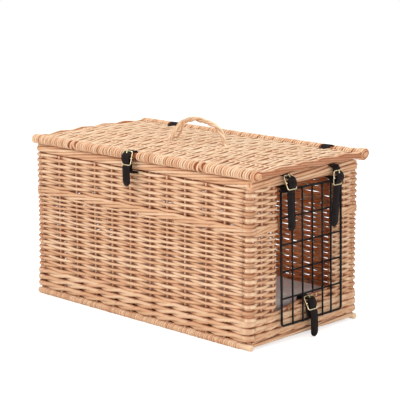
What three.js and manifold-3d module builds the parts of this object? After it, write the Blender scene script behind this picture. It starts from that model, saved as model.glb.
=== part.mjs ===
// Wicker pet carrier: a square willow basket with a wire door in one end, a hinged woven lid
// with a twisted handle, buckled leather straps and a cushion on the floor.
// Millimetres, +Z up. X runs along the basket with the door at +X, and the buckled front is at -Y.
import * as THREE from 'three';
import { mergeVertices } from 'three/addons/utils/BufferGeometryUtils.js';
import Module from 'manifold-3d';

// Driving dimensions: basket
const basketLength = 584;
const basketWidth = 308;
const basketHeight = 311;
const wallThickness = 8.2;
const weaveDepth = 5;
const sideStakes = 10;
const endStakes = 7;
const walePitch = 6.6;
const waleSlope = 2.8;
const waleGroove = 2.8;
const bottomWales = 6;
const middleWales = 3;
const middleWaleDrop = 104;
const thickRodPitch = 6.2;
const thinRodPitch = 4.1;
const upperRodPitch = 5.5;
const postDiameter = 17;
const baseStickDiameter = 15;
const baseEndLift = 5;
const basePanelThickness = 11;
const basePanelLift = 0.8;
const baseStakes = 3;
const baseWeaveDepth = 2;
const baseWeaverPitch = 12;
const borderHeight = 19;
const borderThickness = 20;
const fitGap = 0.3;

// Driving dimensions: doorway and wire door
const doorwayWidth = 148;
const sillHeight = 73;
const headerHeight = 22;
const doorOffset = 8;
const doorBottom = 38;
const doorTopDrop = 7;
const cellWidth = 28;
const cellColumns = 6;
const cellRows = 5;
const frameWireDiameter = 4.4;
const barWireDiameter = 3.2;
const crossWireDiameter = 2.8;
const frameCornerRadius = 13;
const doorGap = 1.2;

// Driving dimensions: lid and handle
const lidOverhang = 11;
const lidShift = 5;
const rollDiameter = 19;
const rollStickDiameter = 11;
const rollStickReach = 3;
const lidPanelThickness = 10;
const lidCrown = 6;
const lidWeaverPitch = 5.5;
const lidSticks = 4;
const lidWeaveDepth = 4;
const lidEndWidth = 12;
const handleSpan = 146;
const handleRise = 40;
const handleRoundness = 2.2;
const handleOffset = 12;
const handleRadius = 6;
const handleStrandDepth = 1.3;
const handleTurns = 5;
const handleFootDepth = 12;

// Driving dimensions: straps and buckles
const strapWidth = 18.6;
const strapThickness = 2;
const strapGap = 0.4;
const buckleHalfLength = 12;
const buckleBarWidth = 2.1;
const buckleThickness = 2;
const prongDiameter = 1.6;
const prongSlotWidth = 3.4;
const slotClearance = 1;
const closureOffset = -5;
const closureBuckleDrop = 5.8;
const closureTailDrop = 49;
const closureTailLean = 4.3;
const lidHingeInset = 96;
const hingeTailDrop = 43;
const strapBend = 2;
const slotBend = 3;
const slotDrop = 2.5;
const flapLength = 3.6;
const doorBuckleRise = 10;
const doorStrapInset = 14.3;
const doorStrapDrops = [76, 83];
const latchBuckleHeight = 64;
const latchSlotDrop = 1.8;
const latchTailEnd = 11;
const latchTailLean = -3.5;
const tailPivotDrop = 5;

// Driving dimensions: cushion
const cushionThickness = 42;
const cushionMargin = 8;
const cushionPull = 7;
const cushionEdge = 12;

// Derived places
const wallFoot = baseStickDiameter + fitGap;
const borderFoot = basketHeight - borderHeight;
const headerFoot = basketHeight - headerHeight;
const rollRadius = rollDiameter / 2;
const rollHeight = basketHeight + fitGap + rollRadius;
const rollPlace = basketWidth / 2;
const lidLength = basketLength + 2 * lidOverhang;
const lidHingeOffset = lidLength / 2 - lidHingeInset;
const lidHingePlaces = [lidShift - lidHingeOffset, lidShift + lidHingeOffset];
const closureTailEnd = basketHeight - closureTailDrop;
const hingeTailEnd = basketHeight - hingeTailDrop;
const lidPanelFoot = rollHeight - lidPanelThickness / 2;
const doorPlane = doorGap + frameWireDiameter / 2;
const doorWidth = cellWidth * cellColumns;
const doorTop = headerFoot - doorTopDrop;
const cellHeight = (doorTop - doorBottom) / cellRows;
const loopRadius = strapGap + strapThickness / 2;
const layerStep = strapThickness + fitGap;
const barCorner = Math.hypot(buckleBarWidth, buckleThickness) / 2;
const barClear = barCorner + fitGap + strapThickness / 2;
const archReach = barClear + layerStep + strapGap;
const buckleDepth = barClear + layerStep;
const slotLevel = borderFoot - slotDrop - strapThickness / 2;
const latchSlotLevel = doorBottom - frameWireDiameter / 2 - strapThickness - latchSlotDrop;
const doorBuckleOut = doorPlane + frameWireDiameter / 2 + loopRadius + buckleDepth;
const doorBuckleHeight = doorTop + doorBuckleRise;
const doorStrapTails = doorStrapDrops.map((drop) => doorTop - drop);
const doorLeft = doorOffset - doorWidth / 2;
const doorStrapPlaces = [doorLeft + doorStrapInset, doorLeft + doorWidth - doorStrapInset];
const strapReach = doorBuckleOut + archReach + strapThickness / 2;
const blindReach = Math.min(-basketLength / 2, lidShift - lidLength / 2);
const doorReach = Math.max(basketLength / 2 + strapReach, lidShift + lidLength / 2);
const centreShift = -(blindReach + doorReach) / 2;

const wasm = await Module();
wasm.setup();

// Colours and surfaces
const paint = (color, roughness, metalness = 0) =>
  new THREE.MeshStandardMaterial({ color, roughness, metalness });
const willow = () => paint(0xe3b98c, 0.6);
const willowDark = () => paint(0xd3a373, 0.65);
const leather = () => paint(0x26221f, 0.55);
const brass = () => paint(0xcdb279, 0.3, 0.9);
const wire = () => paint(0x16130f, 0.5, 0.2);
const cloth = () => paint(0x8d8078, 0.95);

// Solids and booleans
function weld(geometry) {
  geometry.deleteAttribute('normal');
  geometry.deleteAttribute('uv');
  return mergeVertices(geometry, 1e-4);
}

function signedVolume(geometry) {
  const place = geometry.attributes.position;
  const index = geometry.index.array;
  const a = new THREE.Vector3();
  const b = new THREE.Vector3();
  const c = new THREE.Vector3();
  let sum = 0;
  for (let i = 0; i < index.length; i += 3) {
    a.fromBufferAttribute(place, index[i]);
    b.fromBufferAttribute(place, index[i + 1]);
    c.fromBufferAttribute(place, index[i + 2]);
    sum += a.dot(b.cross(c));
  }
  return sum / 6;
}

// A welded copy whose faces point outwards
function closed(geometry) {
  const welded = weld(geometry);
  if (signedVolume(welded) < 0) {
    const index = welded.index.array;
    for (let i = 0; i < index.length; i += 3) {
      [index[i], index[i + 1]] = [index[i + 1], index[i]];
    }
  }
  return welded;
}

function toSolid(geometry) {
  const welded = closed(geometry);
  return new wasm.Manifold(new wasm.Mesh({
    numProp: 3,
    vertProperties: new Float32Array(welded.attributes.position.array),
    triVerts: new Uint32Array(welded.index.array),
  }));
}

function toGeometry(solid) {
  const mesh = solid.getMesh();
  const geometry = new THREE.BufferGeometry();
  geometry.setAttribute('position', new THREE.BufferAttribute(mesh.vertProperties, 3));
  geometry.setIndex(new THREE.BufferAttribute(mesh.triVerts, 1));
  return geometry;
}

const joined = (geometries) =>
  toGeometry(geometries.map(toSolid).reduce((sum, next) => sum.add(next)));
const cut = (geometry, ...tools) =>
  toGeometry(tools.reduce((rest, tool) => rest.subtract(toSolid(tool)), toSolid(geometry)));
const common = (geometry, tool) => toGeometry(toSolid(geometry).intersect(toSolid(tool)));

function box(low, high) {
  const size = high.map((value, axis) => value - low[axis]);
  const geometry = new THREE.BoxGeometry(...size);
  return geometry.translate(...high.map((value, axis) => (value + low[axis]) / 2));
}

function indexed(points, faces) {
  const geometry = new THREE.BufferGeometry();
  geometry.setAttribute('position', new THREE.Float32BufferAttribute(points.flat(), 3));
  geometry.setIndex(faces.flat());
  return closed(geometry);
}

// A bar of the given outline, lying along X and centred on it; the outline is in Y and Z
function barAlongX(outline, length) {
  const bar = new THREE.ExtrudeGeometry(outline, { depth: length, bevelEnabled: false, steps: 1 });
  bar.translate(0, 0, -length / 2);
  bar.applyMatrix4(new THREE.Matrix4().set(0, 0, 1, 0, 1, 0, 0, 0, 0, 1, 0, 0, 0, 0, 0, 1));
  return closed(bar);
}

// Rods laid side by side show as shallow lobes round the outline
function lobedOutline(width, height, lobes, depth, points = 24) {
  const ring = [];
  for (let i = 0; i < points; i += 1) {
    const turn = (i / points) * Math.PI * 2;
    const dip = 1 - (depth * (1 - Math.cos(lobes * turn))) / width;
    const across = Math.sign(Math.cos(turn)) * Math.abs(Math.cos(turn)) ** 0.7;
    const up = Math.sign(Math.sin(turn)) * Math.abs(Math.sin(turn)) ** 0.7;
    ring.push(new THREE.Vector2((width / 2) * across * dip, (height / 2) * up * dip));
  }
  return new THREE.Shape(ring);
}

// A section swept along points; the section may turn as it goes
function sweep(points, sectionAt, side) {
  const rings = points.map((point, i) => {
    const before = points[Math.max(i - 1, 0)];
    const after = points[Math.min(i + 1, points.length - 1)];
    const along = after.clone().sub(before).normalize();
    const out = side.clone().cross(along).normalize();
    return sectionAt(i / (points.length - 1)).map(([u, v]) =>
      point.clone().addScaledVector(out, u).addScaledVector(side, v).toArray());
  });
  const count = rings[0].length;
  const places = rings.flat();
  const faces = [];
  for (let i = 0; i < rings.length - 1; i += 1) {
    for (let k = 0; k < count; k += 1) {
      const a = i * count + k;
      const b = i * count + ((k + 1) % count);
      faces.push([a, b, b + count, a, b + count, a + count]);
    }
  }
  const last = (rings.length - 1) * count;
  for (let k = 1; k < count - 1; k += 1) {
    faces.push([0, k + 1, k], [last, last + k, last + k + 1]);
  }
  return indexed(places, faces);
}

function roundSection(radius, sides) {
  return Array.from({ length: sides }, (_, k) => {
    const turn = ((k + 0.5) / sides) * Math.PI * 2;
    return [radius * Math.cos(turn), radius * Math.sin(turn)];
  });
}

// Weave: a row of rods passes in front of and behind the stakes by turns. A waling row stays in
// front of three stakes while it slopes down, then passes behind the fourth, and has a groove over it.
// The panel stands in X and Z; its woven face looks to -Y with its crests at Y = 0.
const waleFall = [1, 0, -1, 0];

function weaveRow(row, number, stake, first) {
  if (!row.wale) {
    return { sink: (stake + number + first) % 2, lift: 0 };
  }
  const turn = (stake + number) % waleFall.length;
  if (!row.groove) {
    return { sink: turn === waleFall.length - 1 ? 1 : 0, lift: waleSlope * waleFall[turn] };
  }
  const next = waleFall[(turn + 1) % waleFall.length];
  return { sink: waleGroove / weaveDepth, lift: (waleSlope * (waleFall[turn] + next)) / 2 };
}

function wovenPanel(width, height, stakes, rows, thickness, depth, first = 0, crownAt = () => 0) {
  const columns = stakes + 1;
  const levels = [{ level: 0, edge: true }, ...rows, { level: height, edge: true }];
  const points = [];
  const sinks = [];
  const faces = [];
  const stride = columns + 3;
  let number = 0;
  levels.forEach((row) => {
    for (let i = 0; i <= columns; i += 1) {
      const x = width * (i / columns - 0.5);
      const plain = row.edge || i === 0 || i === columns;
      const { sink, lift } = plain ? { sink: 1, lift: 0 } : weaveRow(row, number, i, first);
      points.push([x, sink * depth - crownAt(x), row.level + lift]);
      sinks.push(sink);
    }
    points.push([width / 2, depth + thickness - crownAt(width / 2), row.level]);
    points.push([-width / 2, depth + thickness - crownAt(width / 2), row.level]);
    sinks.push(1, 1);
    number += row.edge || (row.wale && !row.groove) ? 0 : 1;
  });
  const top = (levels.length - 1) * stride;
  for (let start = 0; start < top; start += stride) {
    for (let i = 0; i < stride; i += 1) {
      const a = start + i;
      const b = start + ((i + 1) % stride);
      const c = b + stride;
      const d = a + stride;
      const ridge = sinks[a] + sinks[c] < sinks[b] + sinks[d];
      faces.push(ridge ? [a, b, d, b, c, d] : [a, b, c, a, c, d]);
    }
  }
  const inner = stride - 1;
  for (let i = 0; i < inner - 1; i += 1) {
    faces.push([inner, i + 1, i], [top + inner, top + i, top + i + 1]);
  }
  return indexed(points, faces);
}

function evenRows(foot, top, pitch) {
  const count = Math.floor((top - foot) / pitch);
  return Array.from({ length: count }, (_, k) => ({ level: foot + (k + 0.5) * pitch }));
}

function waleRows(foot, count) {
  return Array.from({ length: count }, (_, k) => [
    { level: foot + (k + 0.5) * walePitch, wale: true },
    { level: foot + (k + 1) * walePitch, wale: true, groove: true },
  ]).flat().slice(0, -1);
}

// Rods that get thinner as they go up
function thinningRows(foot, top, firstPitch, lastPitch) {
  const rows = [];
  let level = foot + firstPitch / 2;
  while (level < top - lastPitch / 2) {
    rows.push({ level });
    level += firstPitch + ((lastPitch - firstPitch) * (level - foot)) / (top - foot);
  }
  return rows;
}

const carrier = new THREE.Group();
carrier.position.x = centreShift;

function place(name, geometry, material, group = carrier, position = [0, 0, 0], turn = [0, 0, 0]) {
  const mesh = new THREE.Mesh(geometry, material);
  mesh.name = name;
  mesh.position.set(...position);
  mesh.rotation.set(...turn);
  group.add(mesh);
  return mesh;
}

const quarter = Math.PI / 2;

// Base: two outer sticks, an end border across each end, and the woven floor between them
const baseStickPlace = basketWidth / 2 - baseStickDiameter / 2;
const baseInner = basketWidth / 2 - baseStickDiameter - fitGap;
const baseEndPlace = basketLength / 2 - baseStickDiameter / 2;

function addBase() {
  const stick = lobedOutline(baseStickDiameter, baseStickDiameter, 8, 0.4, 24);
  const endHeight = baseStickDiameter - baseEndLift;
  const endBorder = lobedOutline(baseStickDiameter, endHeight, 8, 0.4, 24);
  const footCut = 0.5;
  const flatFoot = box([-basketLength, -baseStickDiameter, -baseStickDiameter],
    [basketLength, baseStickDiameter, -baseStickDiameter / 2 + footCut]);
  for (const [side, name] of [[-1, 'front'], [1, 'back']]) {
    place(`base_stick_${name}`, cut(barAlongX(stick, basketLength), flatFoot), willowDark(),
      carrier, [0, side * baseStickPlace, baseStickDiameter / 2 - footCut]);
  }
  for (const [side, name] of [[-1, 'blind'], [1, 'door']]) {
    place(`base_end_${name}`, barAlongX(endBorder, baseInner * 2), willowDark(),
      carrier, [side * baseEndPlace, 0, baseEndLift + endHeight / 2], [0, 0, quarter]);
  }
  const length = (baseEndPlace - baseStickDiameter / 2 - fitGap) * 2;
  const floor = wovenPanel(baseInner * 2, length, baseStakes, evenRows(0, length, baseWeaverPitch),
    basePanelThickness - baseWeaveDepth, baseWeaveDepth);
  place('base_panel', floor, willow(), carrier,
    [-length / 2, 0, basePanelLift], [quarter, quarter, 0]);
}

// Corner posts and the four woven walls between them
const postPlaceX = basketLength / 2 - postDiameter / 2;
const postPlaceY = basketWidth / 2 - postDiameter / 2;
const wallHeight = borderFoot - fitGap - wallFoot;
const longWallLength = basketLength - 2 * (postDiameter + fitGap);
const endWallLength = basketWidth - 2 * (postDiameter + fitGap);
const endWallTop = headerFoot - fitGap;

// From the foot up: waling, rods that get thinner, the middle waling, and even rods to the border
function wallRows(height) {
  const middleFoot = basketHeight - middleWaleDrop - wallFoot;
  const waleTop = bottomWales * walePitch;
  const middleTop = middleFoot + middleWales * walePitch;
  return [
    ...waleRows(0, bottomWales),
    ...thinningRows(waleTop, middleFoot, thickRodPitch, thinRodPitch),
    ...waleRows(middleFoot, middleWales),
    ...evenRows(middleTop, height, upperRodPitch),
  ];
}

function strapSlot(x, level, height) {
  const half = strapWidth / 2 + slotClearance;
  return box([x - half, -1, level], [x + half, wallThickness + weaveDepth + 1, level + height]);
}

function addWalls() {
  for (const [x, endName] of [[-1, 'blind'], [1, 'door']]) {
    for (const [y, sideName] of [[-1, 'front'], [1, 'back']]) {
      const post = new THREE.CylinderGeometry(postDiameter / 2, postDiameter / 2, wallHeight, 14);
      post.rotateX(quarter);
      place(`corner_post_${sideName}_${endName}`, closed(post), willow(),
        carrier, [x * postPlaceX, y * postPlaceY, wallFoot + wallHeight / 2]);
    }
  }
  const longWall = (first) => wovenPanel(longWallLength, wallHeight, sideStakes,
    wallRows(wallHeight), wallThickness, weaveDepth, first);
  const notchFoot = slotLevel - strapThickness / 2 - strapGap - wallFoot;
  const notch = (x) => strapSlot(x, notchFoot, wallHeight);
  place('front_wall', cut(longWall(0), notch(closureOffset)), willow(),
    carrier, [0, -basketWidth / 2, wallFoot]);
  place('back_wall', cut(longWall(1), ...lidHingePlaces.map((x) => notch(-x))), willow(),
    carrier, [0, basketWidth / 2, wallFoot], [0, 0, Math.PI]);

  const endWall = (top, first) => wovenPanel(endWallLength, top - wallFoot, endStakes,
    wallRows(top - wallFoot), wallThickness, weaveDepth, first);
  place('blind_end_wall', endWall(borderFoot - fitGap, 0), willow(),
    carrier, [-basketLength / 2, 0, wallFoot], [0, 0, -quarter]);
  const doorway = box([-doorwayWidth / 2, -1, sillHeight - wallFoot],
    [doorwayWidth / 2, wallThickness + weaveDepth + 1, basketHeight]);
  const latchSlot = strapSlot(doorOffset,
    latchSlotLevel - strapThickness / 2 - strapGap - wallFoot, strapThickness + 2 * strapGap);
  const strapNotches = doorStrapPlaces.map((at) => strapSlot(at,
    doorTop - frameWireDiameter / 2 - strapThickness - 2 * strapGap - wallFoot, wallHeight));
  place('door_end_wall', cut(endWall(endWallTop, 1), doorway, latchSlot, ...strapNotches), willow(),
    carrier, [basketLength / 2, 0, wallFoot], [0, 0, quarter]);
}

// Top border: long rods on the sides, a cross border at the blind end, a header over the door
function addBorder() {
  const rods = lobedOutline(borderThickness, borderHeight, 8, 0.7);
  const middle = borderFoot + borderHeight / 2;
  for (const [side, name] of [[-1, 'front'], [1, 'back']]) {
    place(`border_${name}`, barAlongX(rods, basketLength), willowDark(),
      carrier, [0, side * (basketWidth / 2 - borderThickness / 2), middle]);
  }
  const between = basketWidth - 2 * (borderThickness + fitGap);
  place('border_blind_end', barAlongX(rods, between), willowDark(),
    carrier, [-(basketLength / 2 - borderThickness / 2), 0, middle], [0, 0, quarter]);
  const rail = barAlongX(lobedOutline(borderThickness, headerHeight, 8, 0.7), between);
  const groove = strapThickness + 2 * strapGap;
  const half = strapWidth / 2 + slotClearance;
  const grooves = doorStrapPlaces.map((at) => box(
    [at - half, -borderThickness, headerHeight / 2 - groove],
    [at + half, borderThickness, headerHeight]));
  place('door_header', cut(rail, ...grooves), willowDark(),
    carrier, [basketLength / 2 - borderThickness / 2, 0, headerFoot + headerHeight / 2],
    [0, 0, quarter]);
}

// Straps are drawn as one route in the plane (out from the wall, up) and given their width
function ribbon(points, thickness, width) {
  const left = [];
  const right = [];
  points.forEach((point, i) => {
    const before = points[Math.max(i - 1, 0)];
    const after = points[Math.min(i + 1, points.length - 1)];
    const from = point.clone().sub(before);
    const to = after.clone().sub(point);
    const first = (from.length() > 0 ? from : to).clone().normalize();
    const second = (to.length() > 0 ? to : from).clone().normalize();
    const along = first.clone().add(second).normalize();
    const across = new THREE.Vector2(-along.y, along.x);
    const mitre = Math.max(0.6, Math.abs(along.dot(first)));
    left.push(point.clone().addScaledVector(across, thickness / 2 / mitre));
    right.unshift(point.clone().addScaledVector(across, -thickness / 2 / mitre));
  });
  return slab(new THREE.Shape([...left, ...right]), width);
}

// A flat outline in (out, up), given its width along X; out is -Y
function slab(shape, width) {
  const body = new THREE.ExtrudeGeometry(shape, { depth: width, bevelEnabled: false, steps: 1 });
  body.translate(0, 0, -width / 2);
  body.applyMatrix4(new THREE.Matrix4().set(0, 0, -1, 0, -1, 0, 0, 0, 0, 1, 0, 0, 0, 0, 0, 1));
  return closed(body);
}

const curvePoints = (path) => path.getPoints(3).filter((point, i, all) =>
  i === 0 || point.distanceTo(all[i - 1]) > 0.05);

// Everything above the tail's half-round end
function tailOutline(end) {
  const half = strapWidth / 2;
  const outline = new THREE.Shape();
  outline.absarc(0, end + half, half, Math.PI, Math.PI * 2, false);
  outline.lineTo(half, basketHeight * 2);
  outline.lineTo(-half, basketHeight * 2);
  const body = new THREE.ExtrudeGeometry(outline,
    { depth: basketWidth, bevelEnabled: false, curveSegments: 5 });
  body.translate(0, 0, -basketWidth / 2);
  body.rotateX(quarter);
  return body;
}

// The tail runs behind the top bar, over the middle bar and behind the bottom bar
function archOver(path, out, up) {
  const rise = buckleHalfLength - buckleBarWidth;
  path.quadraticCurveTo(out + archReach * 0.8, up + rise * 0.55, out + archReach, up);
  path.quadraticCurveTo(out + archReach * 0.85, up - rise * 0.5, out - barClear, up - rise);
}

// The other end is folded over the middle bar and leads down behind the tail
function foldOver(path, out, up, drop = buckleHalfLength) {
  path.moveTo(out + barClear * 0.3, up - flapLength);
  path.lineTo(out + barClear, up);
  path.absarc(out, up, barClear, 0, Math.PI, false);
  path.lineTo(out - buckleDepth, up - buckleHalfLength * 0.6);
  path.lineTo(out - buckleDepth, up - drop);
}

function prongSlots(out, up) {
  const half = prongSlotWidth / 2;
  const fold = barClear + strapThickness;
  const slotTop = buckleHalfLength - strapThickness;
  return [
    box([-half, -(out + fold - fitGap), up - fold], [half, -(out - fold), up + fold]),
    box([-half, -(out + archReach * 2), up + fold / 2], [half, -(out - fold), up + slotTop]),
  ];
}

function addBuckle(prefix, group, out, up) {
  const bar = buckleBarWidth;
  const halfWidth = strapWidth / 2 + fitGap + bar / 2;
  const reach = buckleHalfLength;
  const frame = new THREE.Shape();
  const edge = bar / 2;
  const corner = 3;
  const left = -halfWidth - edge;
  const top = reach + edge;
  frame.moveTo(left + corner, -top);
  frame.lineTo(-left - corner, -top);
  frame.absarc(-left - corner, -top + corner, corner, -quarter, 0, false);
  frame.absarc(-left - corner, top - corner, corner, 0, quarter, false);
  frame.absarc(left + corner, top - corner, corner, quarter, Math.PI, false);
  frame.absarc(left + corner, -top + corner, corner, Math.PI, Math.PI * 1.5, false);
  for (const side of [-1, 1]) {
    const low = side < 0 ? -reach + edge : edge;
    const window = new THREE.Path();
    window.moveTo(-halfWidth + edge, low);
    window.lineTo(halfWidth - edge, low);
    window.lineTo(halfWidth - edge, low + reach - bar);
    window.lineTo(-halfWidth + edge, low + reach - bar);
    frame.holes.push(window);
  }
  const plate = new THREE.ExtrudeGeometry(frame,
    { depth: buckleThickness, bevelEnabled: false, curveSegments: 3 });
  plate.translate(0, 0, -buckleThickness / 2);
  plate.rotateX(quarter);
  place(`${prefix}_buckle`, closed(plate), brass(), group, [0, -out, up]);

  const route = new THREE.Path();
  const ring = barCorner + fitGap + prongDiameter / 2;
  const tip = buckleThickness / 2 + fitGap + prongDiameter / 2;
  route.absarc(0, 0, ring, -quarter, quarter, true);
  route.quadraticCurveTo(tip * 1.5, ring * 0.9, tip * 1.3, reach * 0.6);
  route.lineTo(tip, reach + bar / 2);
  place(`${prefix}_prong`, ribbon(curvePoints(route), prongDiameter, prongDiameter), brass(),
    group, [0, -out, up]);
}

// Lid straps: over the roll, through the buckle; the other end through the wall under the border
const rollBuckleUp = rollHeight - closureBuckleDrop;
const rollBuckleOut = Math.sqrt(
  (rollRadius + strapGap + strapThickness + barClear) ** 2 - closureBuckleDrop ** 2);
const innerLine = -(borderThickness + loopRadius);
const rollLoop = rollRadius + loopRadius;

// Where a straight stretch from the border's inner edge touches the loop round the roll
function rollTangent(out, up) {
  const gap = Math.hypot(out, rollHeight - up);
  const slope = Math.atan2(rollHeight - up, -out) + Math.asin(rollLoop / gap);
  return slope + quarter;
}

const cutLevel = basketHeight + 1.5;
const innerTurn = rollTangent(innerLine, basketHeight - 1);
const tangentPoint = new THREE.Vector2(rollLoop * Math.cos(innerTurn),
  rollHeight + rollLoop * Math.sin(innerTurn));

function overRoll(path, tailEnd, lean) {
  const leave = THREE.MathUtils.degToRad(35);
  path.absarc(0, rollHeight, rollLoop, innerTurn, leave, true);
  archOver(path, rollBuckleOut, rollBuckleUp);
  path.lineTo(rollBuckleOut - barClear, slotLevel);
  path.lineTo(rollBuckleOut - barClear - lean, tailEnd);
}

function intoSlot(path) {
  const out = rollBuckleOut - buckleDepth;
  const bend = slotBend + strapThickness;
  path.lineTo(out - fitGap, slotLevel + bend);
  path.quadraticCurveTo(out - 2 * fitGap, slotLevel, out - bend, slotLevel);
}

function insideWall(path) {
  path.lineTo(innerLine + slotBend, slotLevel);
  path.quadraticCurveTo(innerLine, slotLevel, innerLine, slotLevel + slotBend);
}

function strapGroup(x, y, turn) {
  const group = new THREE.Group();
  group.position.set(x, y, 0);
  group.rotation.z = turn;
  carrier.add(group);
  return group;
}

function addClosure() {
  const group = strapGroup(closureOffset, -rollPlace, 0);
  const front = new THREE.Path();
  const rise = (cutLevel - basketHeight + 1) / (tangentPoint.y - basketHeight + 1);
  front.moveTo(innerLine + (tangentPoint.x - innerLine) * rise, cutLevel);
  front.lineTo(tangentPoint.x, tangentPoint.y);
  overRoll(front, closureTailEnd, closureTailLean);
  const strap = cut(ribbon(curvePoints(front), strapThickness, strapWidth),
    ...prongSlots(rollBuckleOut, rollBuckleUp));
  place('closure_strap', common(strap, tailOutline(closureTailEnd)), leather(), group);

  const back = new THREE.Path();
  foldOver(back, rollBuckleOut, rollBuckleUp);
  intoSlot(back);
  place('closure_strap_back', cut(ribbon(curvePoints(back), strapThickness, strapWidth),
    prongSlots(rollBuckleOut, rollBuckleUp)[0]), leather(), group);

  const anchor = new THREE.Path();
  anchor.moveTo(-strapThickness, slotLevel);
  insideWall(anchor);
  anchor.lineTo(innerLine, basketHeight - 1);
  place('closure_anchor', ribbon(curvePoints(anchor), strapThickness, strapWidth), leather(), group);
  addBuckle('closure', group, rollBuckleOut, rollBuckleUp);
}

function addLidHinges() {
  for (const [i, name] of ['blind', 'door'].entries()) {
    const group = strapGroup(lidHingePlaces[i], rollPlace, Math.PI);
    const loop = new THREE.Path();
    foldOver(loop, rollBuckleOut, rollBuckleUp);
    intoSlot(loop);
    insideWall(loop);
    loop.lineTo(innerLine, basketHeight - 1);
    overRoll(loop, hingeTailEnd, 0);
    const strap = cut(ribbon(curvePoints(loop), strapThickness, strapWidth),
      ...prongSlots(rollBuckleOut, rollBuckleUp));
    const prefix = `lid_hinge_${name}`;
    place(`${prefix}_strap`, common(strap, tailOutline(hingeTailEnd)), leather(), group);
    addBuckle(prefix, group, rollBuckleOut, rollBuckleUp);
  }
}

// Door straps: round the header and the door's top wire; each tail hangs from below its buckle
function addDoorStraps() {
  doorStrapPlaces.forEach((at, i) => {
    const name = ['front', 'back'][i];
    const group = strapGroup(basketLength / 2, at, quarter);
    const wireLoop = frameWireDiameter / 2 + loopRadius;
    const bend = strapBend;
    const under = headerFoot - loopRadius;
    const over = basketHeight - strapGap - strapThickness / 2;
    const inside = -(borderThickness + loopRadius);
    const loop = new THREE.Path();
    foldOver(loop, doorBuckleOut, doorBuckleHeight, doorBuckleHeight - doorTop);
    loop.absarc(doorPlane, doorTop, wireLoop, 0, -quarter * 1.6, true);
    loop.lineTo(-bend * 2, under);
    loop.lineTo(inside + bend, under);
    loop.absarc(inside + bend, under + bend, bend, -quarter, -Math.PI, true);
    loop.absarc(inside + bend, over - bend, bend, Math.PI, quarter, true);
    loop.lineTo(bend, over);
    const barTop = doorBuckleHeight + buckleHalfLength;
    loop.lineTo(doorBuckleOut - barClear - bend, barTop + bend * 1.2);
    loop.quadraticCurveTo(doorBuckleOut - barClear, barTop + bend,
      doorBuckleOut - barClear, barTop - buckleBarWidth);
    archOver(loop, doorBuckleOut, doorBuckleHeight);
    const pivot = doorBuckleHeight - buckleHalfLength - tailPivotDrop;
    loop.lineTo(doorBuckleOut - barClear, pivot + strapThickness / 2 + strapGap);
    const prefix = `door_strap_${name}`;
    place(`${prefix}_loop`, cut(ribbon(curvePoints(loop), strapThickness, strapWidth),
      ...prongSlots(doorBuckleOut, doorBuckleHeight)), leather(), group);

    const tail = new THREE.Shape();
    const out = doorBuckleOut - barClear;
    tail.absarc(out, pivot, strapThickness / 2, 0, Math.PI, false);
    tail.lineTo(out - strapThickness / 2, doorStrapTails[i]);
    tail.lineTo(out + strapThickness / 2, doorStrapTails[i]);
    place(`${prefix}_tail`, common(slab(tail, strapWidth), tailOutline(doorStrapTails[i])),
      leather(), group);
    addBuckle(prefix, group, doorBuckleOut, doorBuckleHeight);
  });
}

// Door latch: an anchor round the sill, and the buckled end that hooks under the bottom wire
function addLatch() {
  const group = strapGroup(basketLength / 2, doorOffset, quarter);
  const over = sillHeight + loopRadius;
  const inside = -(wallThickness + weaveDepth + loopRadius);
  const bend = strapBend;
  const anchor = new THREE.Path();
  anchor.moveTo(doorBuckleOut - buckleDepth - 0.6, over);
  anchor.lineTo(inside + bend, over);
  anchor.absarc(inside + bend, over - bend, bend, quarter, Math.PI, false);
  anchor.absarc(inside + bend, latchSlotLevel + bend, bend, Math.PI, Math.PI * 1.5, false);
  anchor.lineTo(-strapThickness / 2, latchSlotLevel);
  place('latch_anchor', ribbon(curvePoints(anchor), strapThickness, strapWidth), leather(), group);

  const front = new THREE.Path();
  front.moveTo(doorBuckleOut - buckleDepth, over);
  const rise = buckleHalfLength - buckleBarWidth;
  front.quadraticCurveTo(doorBuckleOut + archReach * 0.8, latchBuckleHeight + rise * 0.75,
    doorBuckleOut + archReach, latchBuckleHeight);
  front.quadraticCurveTo(doorBuckleOut + archReach * 0.85, latchBuckleHeight - rise * 0.5,
    doorBuckleOut - barClear, latchBuckleHeight - rise);
  front.lineTo(doorBuckleOut - barClear, doorBottom - strapThickness);
  front.lineTo(doorBuckleOut - barClear - latchTailLean, latchTailEnd);
  const strap = cut(ribbon(curvePoints(front), strapThickness, strapWidth),
    ...prongSlots(doorBuckleOut, latchBuckleHeight));
  place('latch_strap', common(strap, tailOutline(latchTailEnd)), leather(), group);

  const back = new THREE.Path();
  foldOver(back, doorBuckleOut, latchBuckleHeight);
  back.absarc(doorPlane, doorBottom, frameWireDiameter / 2 + loopRadius, 0, -quarter, true);
  place('latch_strap_back', cut(ribbon(curvePoints(back), strapThickness, strapWidth),
    prongSlots(doorBuckleOut, latchBuckleHeight)[0]), leather(), group);
  addBuckle('latch', group, doorBuckleOut, latchBuckleHeight);
}

// Wire door: a bent frame wire closed by the hinge wire, with welded upright and cross wires
function rod(diameter, from, to, sides = 8) {
  const start = new THREE.Vector3(...from);
  const end = new THREE.Vector3(...to);
  const side = Math.abs(end.x - start.x) > Math.abs(end.z - start.z)
    ? new THREE.Vector3(0, 0, 1) : new THREE.Vector3(1, 0, 0);
  return sweep([start, end], () => roundSection(diameter / 2, sides), side);
}

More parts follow.
